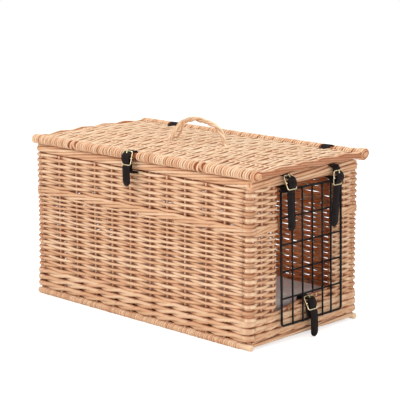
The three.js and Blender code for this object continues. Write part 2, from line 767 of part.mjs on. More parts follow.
function addDoor() {
  const half = doorWidth / 2;
  const height = doorTop - doorBottom;
  const corner = frameCornerRadius;
  const bend = new THREE.Path();
  bend.moveTo(-half, height);
  bend.lineTo(-half, corner);
  bend.absarc(-half + corner, corner, corner, Math.PI, Math.PI * 1.5, false);
  bend.absarc(half - corner, corner, corner, Math.PI * 1.5, Math.PI * 2, false);
  bend.lineTo(half, height);
  const line = bend.getPoints(2).map((point) => new THREE.Vector3(point.x, 0, point.y));
  const distinct = line.filter((point, i) => i === 0 || point.distanceTo(line[i - 1]) > 0.01);
  const pieces = [
    sweep(distinct, () => roundSection(frameWireDiameter / 2, 10), new THREE.Vector3(0, 1, 0)),
    rod(frameWireDiameter, [-half - frameWireDiameter / 2, 0, height],
      [half + frameWireDiameter / 2, 0, height], 10),
  ];
  const crossBack = (frameWireDiameter - crossWireDiameter) / 2 - 0.1;
  const barFront = crossBack - (crossWireDiameter + barWireDiameter) / 2 + fitGap;
  for (let column = 1; column < cellColumns; column += 1) {
    const x = -half + column * cellWidth;
    const foot = column === cellColumns / 2 ? cellHeight : 0;
    pieces.push(rod(barWireDiameter, [x, barFront, foot], [x, barFront, height]));
  }
  for (let row = 1; row < cellRows; row += 1) {
    const z = height - row * cellHeight;
    pieces.push(rod(crossWireDiameter, [-half, crossBack, z], [half, crossBack, z]));
  }
  place('wire_door', joined(pieces), wire(), carrier,
    [basketLength / 2 + doorPlane, doorOffset, doorBottom], [0, 0, quarter]);
}

// Lid: wrapped rolls along both long edges, a woven crowned panel, and a band across each end
const crownAt = (across, halfWidth) => lidCrown * (1 - (across / halfWidth) ** 2);

function addLid() {
  const endInset = 2;
  const profile = [
    [0, -lidLength / 2],
    [rollStickDiameter / 2, -lidLength / 2],
    [rollStickDiameter / 2, -lidLength / 2 + rollStickReach],
    [rollRadius - endInset / 2, -lidLength / 2 + rollStickReach],
    [rollRadius, -lidLength / 2 + rollStickReach + endInset],
  ];
  const mirrored = profile.map(([r, x]) => [r, -x]).reverse();
  const outline = [...profile, ...mirrored].map(([r, x]) => new THREE.Vector2(r, x));
  for (const [side, name] of [[-1, 'front'], [1, 'back']]) {
    const roll = new THREE.LatheGeometry(outline, 16);
    roll.rotateZ(-quarter);
    place(`lid_roll_${name}`, closed(roll), willow(),
      carrier, [lidShift, side * rollPlace, rollHeight]);
  }

  const half = rollPlace - rollRadius - fitGap;
  const length = lidLength - 2 * (rollStickReach + lidEndWidth + fitGap);
  const panel = wovenPanel(half * 2, length, lidSticks, evenRows(0, length, lidWeaverPitch),
    lidPanelThickness - lidWeaveDepth, lidWeaveDepth, 0, (across) => crownAt(across, half));
  const laid = panel.clone();
  laid.rotateX(-quarter);
  laid.rotateZ(-quarter);
  laid.translate(lidShift - length / 2, 0, lidPanelFoot + lidPanelThickness);
  const slotHalf = strapWidth / 2 + slotClearance;
  const slot = (x, side) => {
    const near = side * (rollPlace - rollRadius + 1);
    const far = side * (rollPlace + innerLine + 2);
    return box([x - slotHalf, Math.min(near, far), lidPanelFoot - 1],
      [x + slotHalf, Math.max(near, far), lidPanelFoot + lidPanelThickness * 2]);
  };
  const foot = (side) => {
    const hole = new THREE.CylinderGeometry(handleRadius + strapGap, handleRadius + strapGap,
      lidPanelThickness * 6, 16);
    hole.rotateX(quarter);
    return hole.translate(lidShift + (side * handleSpan) / 2, handleOffset,
      lidPanelFoot + lidPanelThickness);
  };
  place('lid_panel', cut(laid, slot(closureOffset, -1),
    ...lidHingePlaces.map((x) => slot(x, 1)), foot(-1), foot(1)), willow());

  for (const [side, name] of [[-1, 'blind'], [1, 'door']]) {
    const band = new THREE.Shape();
    const foot0 = basketHeight + fitGap;
    const steps = 8;
    band.moveTo(-half, foot0);
    band.lineTo(half, foot0);
    for (let i = 0; i <= steps; i += 1) {
      const across = half * (1 - (2 * i) / steps);
      band.lineTo(across, lidPanelFoot + lidPanelThickness + crownAt(across, half));
    }
    const bar = barAlongX(band, lidEndWidth);
    place(`lid_end_${name}`, bar, willowDark(), carrier,
      [lidShift + side * (lidLength / 2 - rollStickReach - lidEndWidth / 2), 0, 0]);
  }
}

// Handle: one arch of strands twisted together, its feet pushed through the lid
function addHandle() {
  const half = handleSpan / 2;
  const foot = lidPanelFoot + lidPanelThickness + crownAt(handleOffset, rollPlace);
  const steps = 44;
  const points = [new THREE.Vector3(-half, 0, foot - handleFootDepth)];
  for (let i = 0; i <= steps; i += 1) {
    const turn = Math.PI * (1 - i / steps);
    const across = Math.sign(Math.cos(turn)) * Math.abs(Math.cos(turn)) ** (2 / handleRoundness);
    const up = Math.sin(turn) ** (2 / handleRoundness);
    points.push(new THREE.Vector3(half * across, 0, foot + handleRise * up));
  }
  points.push(new THREE.Vector3(half, 0, foot - handleFootDepth));
  const strands = (share) => Array.from({ length: 6 }, (_, k) => {
    const radius = k % 2 === 0 ? handleRadius : handleRadius - handleStrandDepth;
    const turn = (k / 6 + share * handleTurns / 3) * Math.PI * 2;
    return [radius * Math.cos(turn), radius * Math.sin(turn)];
  });
  place('handle', sweep(points, strands, new THREE.Vector3(0, 1, 0)), willow(), carrier,
    [lidShift, handleOffset, 0]);
}

// Cushion: crowned top, flat sole, sides drawn in between the corners
function addCushion() {
  const inner = basketWidth / 2 - weaveDepth - wallThickness - cushionMargin;
  const reach = basketLength / 2 - weaveDepth - wallThickness - cushionMargin;
  const foot = basePanelThickness + basePanelLift + fitGap;
  const across = 18;
  const deep = 12;
  const points = [];
  const faces = [];
  const surface = (top) => {
    for (let i = 0; i <= across; i += 1) {
      for (let j = 0; j <= deep; j += 1) {
        const u = Math.sin(((2 * i) / across - 1) * quarter);
        const v = Math.sin(((2 * j) / deep - 1) * quarter);
        const x = u * (reach - cushionPull * (1 - v * v));
        const y = v * (inner - cushionPull * (1 - u * u));
        const swell = ((1 - u ** 4) * (1 - v ** 4)) ** 0.5;
        const z = top ? cushionEdge + (cushionThickness - cushionEdge) * swell
          : cushionEdge * (1 - Math.min(1, swell * 1.6));
        points.push([x, y, foot + z]);
      }
    }
  };
  surface(true);
  surface(false);
  const stride = deep + 1;
  const below = (across + 1) * stride;
  for (let i = 0; i < across; i += 1) {
    for (let j = 0; j < deep; j += 1) {
      const a = i * stride + j;
      faces.push([a, a + stride, a + stride + 1, a, a + stride + 1, a + 1]);
      const b = below + a;
      faces.push([b, b + stride + 1, b + stride, b, b + 1, b + stride + 1]);
    }
  }
  place('cushion', indexed(points, faces), cloth());
}

addBase();
addWalls();
addBorder();
addClosure();
addLidHinges();
addDoorStraps();
addLatch();
addDoor();
addLid();
addHandle();
addCushion();

export default carrier;
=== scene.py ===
import math

import bmesh
import bpy
import numpy as np
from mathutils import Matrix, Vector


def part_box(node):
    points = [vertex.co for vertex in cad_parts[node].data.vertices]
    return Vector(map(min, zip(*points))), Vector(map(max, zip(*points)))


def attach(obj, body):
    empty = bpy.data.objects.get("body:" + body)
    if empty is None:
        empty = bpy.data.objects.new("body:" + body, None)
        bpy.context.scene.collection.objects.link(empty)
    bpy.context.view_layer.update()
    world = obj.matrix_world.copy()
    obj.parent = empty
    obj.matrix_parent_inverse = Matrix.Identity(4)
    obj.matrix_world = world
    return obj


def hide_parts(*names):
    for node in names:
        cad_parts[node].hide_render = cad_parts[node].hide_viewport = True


# A willow pet carrier: real rods woven round real stakes, with leather, brass, wire and a cushion.
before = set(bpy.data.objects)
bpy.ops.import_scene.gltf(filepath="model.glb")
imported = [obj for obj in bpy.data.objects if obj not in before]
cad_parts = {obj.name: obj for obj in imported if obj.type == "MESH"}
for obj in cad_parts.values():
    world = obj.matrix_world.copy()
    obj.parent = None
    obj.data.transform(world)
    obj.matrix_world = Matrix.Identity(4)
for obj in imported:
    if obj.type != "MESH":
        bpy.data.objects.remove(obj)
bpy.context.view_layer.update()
bpy.ops.object.select_all(action="DESELECT")
chance = np.random.default_rng(11)
MM = 0.001
UP = np.array([0.0, 0.0, 1.0])
EAST = np.array([1.0, 0.0, 0.0])
NORTH = np.array([0.0, 1.0, 0.0])


# Camera at the photograph's viewing angle
def add_camera():
    place = (1.9492, -1.9756, 0.7776)
    tilt = 11.494
    turn = 44.293
    data = bpy.data.cameras.new("camera")
    data.lens = 130.51
    data.sensor_width = 36.0
    camera = bpy.data.objects.new("camera", data)
    camera.location = (basket_x + place[0], place[1], place[2])
    camera.rotation_euler = (math.radians(90 - tilt), 0, math.radians(turn))
    bpy.context.collection.objects.link(camera)
    bpy.context.scene.camera = camera


# A part's box in the frame: its low corner, its high corner and its middle
def box(name):
    low, high = (np.array(corner, dtype=float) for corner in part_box(name))
    return np.array([low, high, (low + high) / 2])


# Main sizes, read from the frame
blind_face, front_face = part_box("base_stick_front")[0][:2]
door_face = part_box("base_stick_front")[1][0]
basket_x = (door_face + blind_face) / 2
half_length = (door_face - blind_face) / 2
half_width = -front_face
weave_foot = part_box("front_wall")[0][2]
weave_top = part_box("front_wall")[1][2]
border_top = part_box("border_front")[1][2]
border_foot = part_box("border_front")[0][2]
wall_end_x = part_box("front_wall")[1][0] - basket_x
wall_end_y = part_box("blind_end_wall")[1][1]
header_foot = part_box("door_header")[0][2]
roll_low, roll_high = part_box("lid_roll_front")
roll_radius = (roll_high[2] - roll_low[2]) / 2
roll_height = (roll_high[2] + roll_low[2]) / 2
roll_place = -(roll_high[1] + roll_low[1]) / 2
sill_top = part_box("latch_anchor")[1][2] - 2.4 * MM
sill_slope = 0.12

# Weave sizes
weaver_radius = 2.75 * MM
stake_radius = 2.5 * MM
swing = 4.3 * MM
ring_inset = swing + weaver_radius
ring_bend = 5 * MM
front_stakes = [227, 181, 128, 81, 35, -18, -69, -118, -172, -223]
end_stakes = [-113, -76, -38, 0, 38, 76, 113]
jamb_front = 84 * MM
jamb_back = 81 * MM


# A node tree: a socket takes a value, a color or the output of another node
class Tree:
    def __init__(self, tree):
        self.tree = tree
        tree.nodes.clear()

    def feed(self, socket, value):
        if isinstance(value, bpy.types.NodeSocket):
            self.tree.links.new(value, socket)
        elif isinstance(value, tuple) and len(socket.default_value) == 4:
            socket.default_value = (*value, 1)
        else:
            socket.default_value = value

    def node(self, kind, inputs):
        node = self.tree.nodes.new(f"ShaderNode{kind}")
        for name, value in inputs.items():
            self.feed(node.inputs[name], value)
        return node

    def math(self, operation, first, second):
        node = self.node("Math", {0: first, 1: second})
        node.operation = operation
        return node.outputs["Value"]


# A finish: one surface, with patterns that lie on the object or run along each rod
class Finish(Tree):
    def __init__(self, name):
        self.material = bpy.data.materials.new(name)
        self.material.use_nodes = True
        super().__init__(self.material.node_tree)
        self.surface = self.node("BsdfPrincipled", {})
        self.node("OutputMaterial", {"Surface": self.surface.outputs["BSDF"]})

    def set(self, name, value):
        self.feed(self.surface.inputs[name], value)

    def place(self):
        return self.node("TexCoord", {}).outputs["Object"]

    def attribute(self, name, output="Fac"):
        node = self.node("Attribute", {})
        node.attribute_name = name
        return node.outputs[output]

    def scaled(self, vector, scale):
        return self.node("Mapping", {"Vector": vector, "Scale": scale}).outputs["Vector"]

    def noise(self, vector, scale, detail=3.0, rough=0.55):
        inputs = {"Vector": vector, "Scale": scale, "Detail": detail, "Roughness": rough}
        return self.node("TexNoise", inputs).outputs["Fac"]

    def cells(self, vector, scale):
        return self.node("TexVoronoi", {"Vector": vector, "Scale": scale}).outputs["Distance"]

    def ramp(self, value, *stops):
        node = self.node("ValToRGB", {"Fac": value})
        elements = node.color_ramp.elements
        while len(elements) < len(stops):
            elements.new(0.5)
        for element, (place, color) in zip(elements, stops):
            element.position = place
            element.color = (*color, 1)
        return node.outputs["Color"]

    def gloss(self, value, *stops):
        self.set("Roughness", self.ramp(value, *((place, (rough,) * 3) for place, rough in stops)))

    def mixed(self, factor, first, second, blend="MIX"):
        node = self.node("Mix", {})
        node.data_type = "RGBA"
        node.blend_type = blend
        for socket, value in zip((0, 6, 7), (factor, first, second)):
            self.feed(node.inputs[socket], value)
        return node.outputs[2]

    def bump(self, height, distance, strength=0.5):
        node = self.node("Bump", {"Height": height, "Distance": distance, "Strength": strength})
        self.set("Normal", node.outputs["Normal"])


# Peeled willow: each rod has its own tone, with streaks, leaf scars and fine ridges along it, plus painted
# shade
def willow_material(name, pale, mid, deep, gap):
    crevice_shade_tint = (0.50, 0.235, 0.14)
    inner_shade_tint = (0.98, 0.50, 0.28)
    finish = Finish(name)
    grain = finish.attribute("grain", "Vector")
    streak = finish.noise(finish.scaled(grain, (22, 520, 520)), 1.0, 4.0, 0.6)
    patch = finish.noise(finish.scaled(grain, (26, 60, 60)), 1.0, 2.0)
    rod_part = finish.math("MULTIPLY", finish.attribute("tone"), 0.55)
    streak_part = finish.math("MULTIPLY", streak, 0.35)
    patch_part = finish.math("MULTIPLY", patch, 0.3)
    level = finish.math("ADD", finish.math("ADD", rod_part, streak_part), patch_part)
    peeled = finish.ramp(level, (0.18, deep), (0.5, mid), (0.85, pale))
    scars = finish.cells(finish.scaled(grain, (30, 160, 160)), 1.0)
    scar_part = finish.math("MULTIPLY", finish.ramp(scars, (0.07, (1, 1, 1)), (0.13, (0, 0, 0))), 0.5)
    worn = finish.mixed(scar_part, peeled, gap)
    # Painted shade: darker and redder between the rods, and darker and redder on the walls' inner side
    shade = finish.math("MULTIPLY", finish.attribute("crevice_shade"), 0.9)
    crevice_shaded = finish.mixed(shade, worn, crevice_shade_tint, "MULTIPLY")
    toned = finish.mixed(finish.attribute("inner_shade"), crevice_shaded, inner_shade_tint, "MULTIPLY")
    finish.set("Base Color", toned)
    finish.gloss(patch, (0.3, 0.42), (0.75, 0.62))
    ridges = finish.noise(finish.scaled(grain, (40, 1500, 1500)), 1.0, 2.0)
    finish.bump(finish.math("SUBTRACT", ridges, scar_part), 0.0003)
    finish.set("Specular IOR Level", 0.35)
    return finish.material


# Near-black strap leather with a fine pebbled grain
def leather_material():
    finish = Finish("strap_leather")
    place = finish.place()
    patch = finish.noise(place, 90)
    finish.set("Base Color", finish.ramp(patch, (0.3, (0.008, 0.0052, 0.0048)),
                                         (0.7, (0.018, 0.0115, 0.0105))))
    finish.gloss(finish.noise(place, 260, 2.0), (0.3, 0.44), (0.7, 0.6))
    finish.bump(finish.cells(place, 1100), 0.00016, 0.6)
    finish.set("Specular IOR Level", 0.08)
    return finish.material


def brass_material():
    finish = Finish("buckle_brass")
    place = finish.place()
    wear = finish.noise(place, 240, 4.0)
    finish.set("Base Color", finish.ramp(wear, (0.3, (0.68, 0.53, 0.27)), (0.6, (0.88, 0.76, 0.50))))
    finish.gloss(wear, (0.3, 0.36), (0.7, 0.2))
    finish.bump(finish.noise(place, 1500, 2.0), 0.00003)
    finish.set("Metallic", 1.0)
    return finish.material


def powder_coat_material():
    finish = Finish("door_wire")
    place = finish.place()
    finish.set("Base Color", finish.ramp(finish.noise(place, 120, 2.0), (0.3, (0.004, 0.004, 0.004)),
                                         (0.7, (0.009, 0.008, 0.008))))
    orange_peel = finish.noise(place, 1400, 2.0)
    finish.gloss(orange_peel, (0.3, 0.36), (0.7, 0.5))
    finish.bump(orange_peel, 0.00008)
    finish.set("Specular IOR Level", 0.14)
    return finish.material


# Plain woven cover with slubs in its thread
def cloth_material():
    finish = Finish("cushion_cloth")
    place = finish.place()
    threads = []
    for axis in ("X", "Y", "Z"):
        wave = finish.node("TexWave", {"Vector": place, "Scale": 210, "Distortion": 0.6, "Detail": 1.0})
        wave.bands_direction = axis
        threads.append(wave.outputs["Fac"])
    weave = finish.math("MAXIMUM", finish.math("MULTIPLY", threads[0], threads[1]), threads[2])
    shade = finish.math("ADD", finish.math("MULTIPLY", weave, 0.35), finish.noise(place, 45, 4.0))
    finish.set("Base Color", finish.ramp(shade, (0.35, (0.68, 0.58, 0.545)), (0.95, (0.88, 0.78, 0.74))))
    finish.bump(weave, 0.0003)
    finish.set("Roughness", 0.9)
    finish.set("Sheen Weight", 0.25)
    finish.set("Specular IOR Level", 0.2)
    return finish.material


willow = willow_material("willow_weave", (0.91, 0.64, 0.415), (0.77, 0.455, 0.26),
                         (0.60, 0.29, 0.14), (0.20, 0.075, 0.035))
willow_lid = willow_material("willow_lid", (0.96, 0.76, 0.53), (0.90, 0.64, 0.41),
                             (0.74, 0.45, 0.25), (0.24, 0.09, 0.045))
willow_border = willow_material("willow_border", (0.93, 0.67, 0.44), (0.78, 0.45, 0.255),
                                (0.54, 0.25, 0.12), (0.18, 0.065, 0.03))
leather = leather_material()
brass = brass_material()
powder_coat = powder_coat_material()
cloth = cloth_material()


def smooth_step(low, high, value):
    share = np.clip((value - low) / (high - low), 0, 1)
    return share * share * (3 - 2 * share)


# A bundle gathers many rods into one mesh, with each rod's own grain and tone; its crevice shade tells
# how much painted shade a place between the rods gets, from 0 to 1, and seam scales the painted side lines
class Bundle:
    def __init__(self, crevice_shade=None, seam=0.85):
        self.crevice_shade = crevice_shade
        self.seam = seam
        self.edge = []
        self.points = []
        self.faces = []
        self.grain = []
        self.tone = []
        self.count = 0

    def add(self, rings, faces, grain, tone, edge):
        self.points.append(rings)
        self.edge.append(edge)
        self.faces += faces
        self.grain.append(grain)
        self.tone.append(np.full(len(rings), tone))
        self.count += len(rings)


def unit(vectors):
    return vectors / np.linalg.norm(vectors, axis=-1, keepdims=True)


# How far along its line each point lies
def run_along(points):
    return np.concatenate([[0], np.cumsum(np.linalg.norm(np.diff(points, axis=0), axis=1))])


# A rod: rings round a line, with cut ends where it is blunt; its grain starts at a place of its own
def add_rod(bundle, route, radius, side=UP, sides=8, tall=1.0, blunt=(False, False), tone=None, seam=1.0,
            start=None):
    route = np.array(route, dtype=float)
    radius = np.array(np.broadcast_to(radius, len(route)), dtype=float)
    heading = unit(np.gradient(route, axis=0))
    for end, cut in ((0, blunt[0]), (-1, blunt[1])):
        if cut:
            at = len(route) if end else 0
            step = heading[end] * radius[end] * (0.3 if end else -0.3)
            route = np.insert(route, at, route[end] + step, axis=0)
            radius = np.insert(radius, at, radius[end] * 0.72)
            heading = np.insert(heading, at, heading[end], axis=0)
    out = unit(np.cross(heading, side))
    lift = np.cross(out, heading)
    turn = np.arange(sides) / sides * 2 * math.pi
    across = np.cos(turn)[None, :, None] * out[:, None, :]
    along = tall * np.sin(turn)[None, :, None] * lift[:, None, :]
    rings = route[:, None, :] + (across + along) * radius[:, None, None]
    run = run_along(route) + (chance.uniform(0, 40) if start is None else start)
    grain = np.stack([np.repeat(run[:, None], sides, axis=1), np.outer(radius, np.cos(turn)),
                      np.outer(radius, np.sin(turn))], axis=2)
    row = np.arange(sides)
    beside = (row + 1) % sides
    start = bundle.count + sides * np.arange(len(route) - 1)[:, None]
    quads = np.stack([start + row, start + sides + row, start + sides + beside, start + beside], axis=2)
    last = bundle.count + sides * (len(route) - 1)
    faces = quads.reshape(-1, 4).tolist()
    faces += [list(range(bundle.count, bundle.count + sides)), list(range(last, last + sides))[::-1]]
    shade = chance.uniform(0.15, 1.0) if tone is None else tone
    # Painted shade: a dark line along the two sides of each rod that face its neighbours, scaled by seam
    edge = np.tile(seam * smooth_step(0.5, 0.92, np.abs(np.sin(turn))), len(route))
    if blunt[0]:
        edge[:2 * sides] = 0
    if blunt[1]:
        edge[-2 * sides:] = 0
    bundle.add(rings.reshape(-1, 3), faces, grain.reshape(-1, 3), shade, edge)


def mesh_piece(name, points, faces, material, body, node):
    mesh = bpy.data.meshes.new(name)
    mesh.from_pydata(points, [], faces)
    mesh.materials.append(material)
    piece = bpy.data.objects.new(name, mesh)
    bpy.context.collection.objects.link(piece)
    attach(piece, body)
    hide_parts(node)
    return piece


def woven_piece(name, bundle, material, body, node):
    points = np.concatenate(bundle.points)
    mesh = mesh_piece(name, points.tolist(), bundle.faces, material, body, node).data
    grain = mesh.attributes.new("grain", "FLOAT_VECTOR", "POINT")
    grain.data.foreach_set("vector", np.concatenate(bundle.grain).ravel())
    # Painted shade: the dark lines along the rods' sides and the bundle's crevice shade make one value
    dark = bundle.seam * np.concatenate(bundle.edge)
    if bundle.crevice_shade is not None:
        dark = np.maximum(dark, bundle.crevice_shade(points))
    for layer, values in (("tone", np.concatenate(bundle.tone)), ("crevice_shade", dark),
                          ("inner_shade", inner_shade_mask(points))):
        mesh.attributes.new(layer, "FLOAT", "POINT").data.foreach_set("value", values)
    mesh.polygons.foreach_set("use_smooth", np.array([len(face) == 4 for face in bundle.faces]))


# Painted shade: the inner side of the walls is painted darker and redder, for the shade inside the basket
def inner_shade_mask(points):
    depth = np.minimum(ring_x - np.abs(points[:, 0] - basket_x), ring_y - np.abs(points[:, 1]))
    low = (points[:, 2] > weave_foot) & (points[:, 2] < border_foot)
    return low * smooth_step(0.5 * MM, 3.5 * MM, depth)


# Slow unevenness along a rod
def waver(run, size, length=0.09):
    first, second = chance.uniform(0, 2 * math.pi, 2)
    slow = np.sin(run / length * 2 * math.pi + first)
    quick = np.sin(run / length * 5.1 + second)
    return size * (0.6 * slow + 0.4 * quick)


# The ring: the middle line of the basket's wall, from the middle of the door end round the front
ring_x = half_length - ring_inset
ring_y = half_width - ring_inset
straight_x = 2 * (ring_x - ring_bend)
straight_y = 2 * (ring_y - ring_bend)
bend_length = ring_bend * math.pi / 2
ring_legs = [straight_y / 2, bend_length, straight_x, bend_length, straight_y, bend_length,
             straight_x, bend_length, straight_y / 2]
ring_starts = np.concatenate([[0], np.cumsum(ring_legs)])
ring_length = ring_starts[-1]
leg_places = [(ring_x, 0), (ring_x, -straight_y / 2), (straight_x / 2, -ring_y),
              (-straight_x / 2, -ring_y), (-ring_x, -straight_y / 2), (-ring_x, straight_y / 2),
              (-straight_x / 2, ring_y), (straight_x / 2, ring_y), (ring_x, straight_y / 2)]
leg_normals = [0, 0, -90, -90, -180, -180, -270, -270, -360]


def ring_point(run, out, level):
    run = np.mod(run, ring_length)
    leg = np.clip(np.searchsorted(ring_starts, run, side="right") - 1, 0, len(ring_legs) - 1)
    bends = leg % 2 == 1
    gone = run - ring_starts[leg]
    first = np.radians(np.array(leg_normals)[leg])
    angle = np.where(bends, first - gone / ring_bend, first)
    normal = np.stack([np.cos(angle), np.sin(angle)], axis=1)
    start = np.array(leg_places)[leg]
    heading = np.stack([np.sin(first), -np.cos(first)], axis=1)
    straight = start + heading * gone[:, None]
    centre = start - ring_bend * np.stack([np.cos(first), np.sin(first)], axis=1)
    place = np.where(bends[:, None], centre + ring_bend * normal, straight)
    place = place + normal * np.broadcast_to(out, len(run))[:, None]
    return np.column_stack([place[:, 0] + basket_x, place[:, 1], np.broadcast_to(level, len(run))])


# Painted shade: the stakes' line is darkest, most of all beside the stakes and round the corner posts, and
# both faces of the wall stay unshaded
def wall_shade(points):
    side = np.maximum(np.abs(points[:, 0] - basket_x) - ring_x, np.abs(points[:, 1]) - ring_y)
    deep = 1 - smooth_step(1.0 * MM, 3.0 * MM, np.abs(side))
    away = np.full(len(points), 1.0)
    for spot in ring_point(stake_runs, 0, 0):
        away = np.minimum(away, np.hypot(points[:, 0] - spot[0], points[:, 1] - spot[1]))
    near = 1 - smooth_step(4.5 * MM, 12 * MM, away)
    corner_shade = np.hypot(np.abs(points[:, 0] - basket_x) - ring_x, np.abs(points[:, 1]) - ring_y)
    corner_shade = 0.45 * (1 - smooth_step(6 * MM, 20 * MM, corner_shade)) * (1 - smooth_step(5.5 * MM, 8.5 * MM, side))
    return np.maximum(deep * (0.1 + 0.7 * near), corner_shade)


# How far round the ring a place on a wall lies, from its X or Y off the basket's middle
def along_ring(wall, place):
    if wall == "front":
        return ring_starts[2] + straight_x / 2 - place
    if wall == "blind":
        return ring_starts[4] + place + straight_y / 2
    if wall == "back":
        return ring_starts[6] + place + straight_x / 2
    return ring_starts[8] + straight_y / 2 - place


corner_runs = [ring_starts[k] + bend_length / 2 for k in (1, 3, 5, 7)]
stake_runs = np.array(
    [0.0, 38 * MM, jamb_front, 115 * MM, corner_runs[0]]
    + [along_ring("front", x * MM) for x in front_stakes] + [corner_runs[1]]
    + [along_ring("blind", y * MM) for y in end_stakes] + [corner_runs[2]]
    + [along_ring("back", x * MM) for x in reversed(front_stakes)] + [corner_runs[3]]
    + [along_ring("door_back", y) for y in (114 * MM, jamb_back, 38 * MM)])
stake_count = len(stake_runs)


# Counts stakes along the ring, so that a rod swings out and in by turns
def stake_phase(run):
    rounds = np.floor(run / ring_length)
    knots = np.append(stake_runs, ring_length)
    return np.interp(run - rounds * ring_length, knots, np.arange(stake_count + 1)) + rounds * stake_count


def ring_samples(first, last, step=4.2 * MM, fine=2.2 * MM):
    marks = [first]
    while marks[-1] < last - fine * 0.5:
        inside = np.mod(marks[-1], ring_length)
        near = min(abs(inside - corner) for corner in corner_runs) < 16 * MM
        marks.append(min(marks[-1] + (fine if near else step), last))
    return np.array(marks)


# Where on the ring each wall and corner begins and ends
front_span = (along_ring("front", wall_end_x), along_ring("front", -wall_end_x))
blind_span = (along_ring("blind", -wall_end_y), along_ring("blind", wall_end_y))
back_span = (along_ring("back", -wall_end_x), along_ring("back", wall_end_x))
door_back_end = along_ring("door_back", wall_end_y)
wall_spans = {
    "front_wall": front_span,
    "blind_end_wall": blind_span,
    "back_wall": back_span,
    "corner_post_front_door": (wall_end_y, front_span[0]),
    "corner_post_front_blind": (front_span[1], blind_span[0]),
    "corner_post_back_blind": (blind_span[1], back_span[0]),
    "corner_post_back_door": (back_span[1], door_back_end),
}
sill_span = (door_back_end - ring_length, wall_end_y)
front_jamb_span = (jamb_front, wall_end_y)
back_jamb_span = (door_back_end, along_ring("door_back", jamb_back))


# Rows of plain weave, thinner towards the middle of the wall
def weave_levels():
    foot = weave_foot + 39.6 * MM
    top = border_top - 104 * MM
    foot_pitch = 6.2 * MM
    thinning = 2.1 * MM
    middle_wale_height = 21.0 * MM
    levels = []
    level = foot + foot_pitch / 2
    while level < top + 2 * MM:
        pitch = foot_pitch - thinning * (level - foot) / (top - foot)
        levels.append((level, pitch / 2))
        level += pitch
    first = levels[0][0]
    stretch = (top + 1.6 * MM - first) / (levels[-1][0] - first)
    levels = [(first + (level - first) * stretch, radius) for level, radius in levels]
    level = top + middle_wale_height
    while level < border_foot:
        levels.append((level, weaver_radius))
        level += 2 * weaver_radius
    return levels


rows = weave_levels()


# The rod goes round the stake at the doorway's edge and back as the next row
def round_edge(run, at_start, side, level, partner_level):
    angle = np.linspace(math.pi / 2, 0, 5)[1:]
    stake = ring_point(np.array([run]), 0, 0)[0]
    way = 1 if at_start else -1
    height = level + (partner_level - level) / 2 * (1 - angle / (math.pi / 2))
    return np.column_stack([stake[0] + side * swing * np.sin(angle),
                            stake[1] + way * swing * np.cos(angle), height])


row_waves = [chance.uniform(0, 2 * math.pi, 3) for _ in rows]
row_tones = chance.uniform(0.1, 1.0, len(rows))


def row_route(index, run):
    level = rows[index][0]
    waves = row_waves[index]
    lift = 0.28 * MM * (np.sin(run * 31 + waves[0]) + np.sin(run * 73 + waves[1]))
    wave = np.cos(math.pi * (stake_phase(run) + index))
    out = swing * np.arcsin(0.93 * wave) / math.asin(0.93)
    round_run = np.mod(run, ring_length)
    corner = np.min([np.abs(round_run - place) for place in corner_runs], axis=0)
    out = np.maximum(out, swing * (0.3 - 1.6 * smooth_step(3 * MM, 17 * MM, corner)))
    return ring_point(run, out, level + lift)


def row_radius(index, run):
    waves = row_waves[index]
    return rows[index][1] * (1.0 + 0.06 * np.sin(run * 17 + waves[2]) + 0.04 * np.sin(run * 47 + waves[0]))


def add_row(bundle, index, first, last, edge=None, fullness=1.2):
    widest_turn = 9 * MM
    run = ring_samples(first, last)
    route = row_route(index, run)
    radius = row_radius(index, run)
    if edge:
        at_start = edge == "front"
        at = first if at_start else last
        side = round(math.cos(math.pi * (stake_phase(np.array([at]))[0] + index)))
        other = index + side
        level = rows[index][0]
        partner = rows[other][0] if 0 <= other < len(rows) else level
        if abs(partner - level) > widest_turn:
            partner = level
        turn = round_edge(at, at_start, side, level, partner)
        route = np.concatenate([turn[::-1], route] if at_start else [route, turn])
        radius = np.pad(radius, (len(turn), 0) if at_start else (0, len(turn)), "edge")
    add_rod(bundle, route, radius, sides=10, tall=fullness, tone=row_tones[index],
            start=first + 3.7 * index)


# Waling: each rod passes in front of some stakes and behind one, sloping as it goes
class Wale:
    def __init__(self, level, strands, climb, radius, shift):
        self.level = level
        self.strands = strands
        self.climb = climb
        self.radius = radius
        self.shift = shift


wales = [Wale(weave_foot + 6.6 * MM, 3, 4.2 * MM, 3.9 * MM, 0),
         Wale(weave_foot + 20.0 * MM, 3, 4.2 * MM, 3.9 * MM, 1),
         Wale(weave_foot + 33.2 * MM, 3, 4.2 * MM, 3.8 * MM, 2),
         Wale(border_top - 93.8 * MM, 4, 6.0 * MM, 2.9 * MM, 0)]
wale_tones = chance.uniform(0.1, 0.9, (len(wales), 4))


def wale_route(run, strand, wale):
    phase = np.mod(stake_phase(run) + strand + wale.shift, wale.strands)
    last = wale.strands - 1
    hidden = np.clip(1 - np.abs(phase - last), 0, 1)
    out = swing * np.cos(math.pi * hidden)
    knots = [0, 0.5, last - 0.5, last, last + 0.5, wale.strands]
    heights = np.array([0.8, 1, -1, -0.2, 0.6, 0.8]) * wale.climb
    return ring_point(run, out * 1.06, wale.level + np.interp(phase, knots, heights))


def add_wale(bundle, wale, first, last):
    run = ring_samples(first - 0.8 * MM, last + 0.8 * MM)
    for strand in range(wale.strands):
        size = wale.radius * (1 + 0.05 * np.sin(run * 29 + strand * 2 + wale.shift))
        add_rod(bundle, wale_route(run, strand, wale), size, sides=10, tall=1.12,
                tone=wale_tones[wales.index(wale)][strand], start=first + 5.3 * strand + wale.shift)


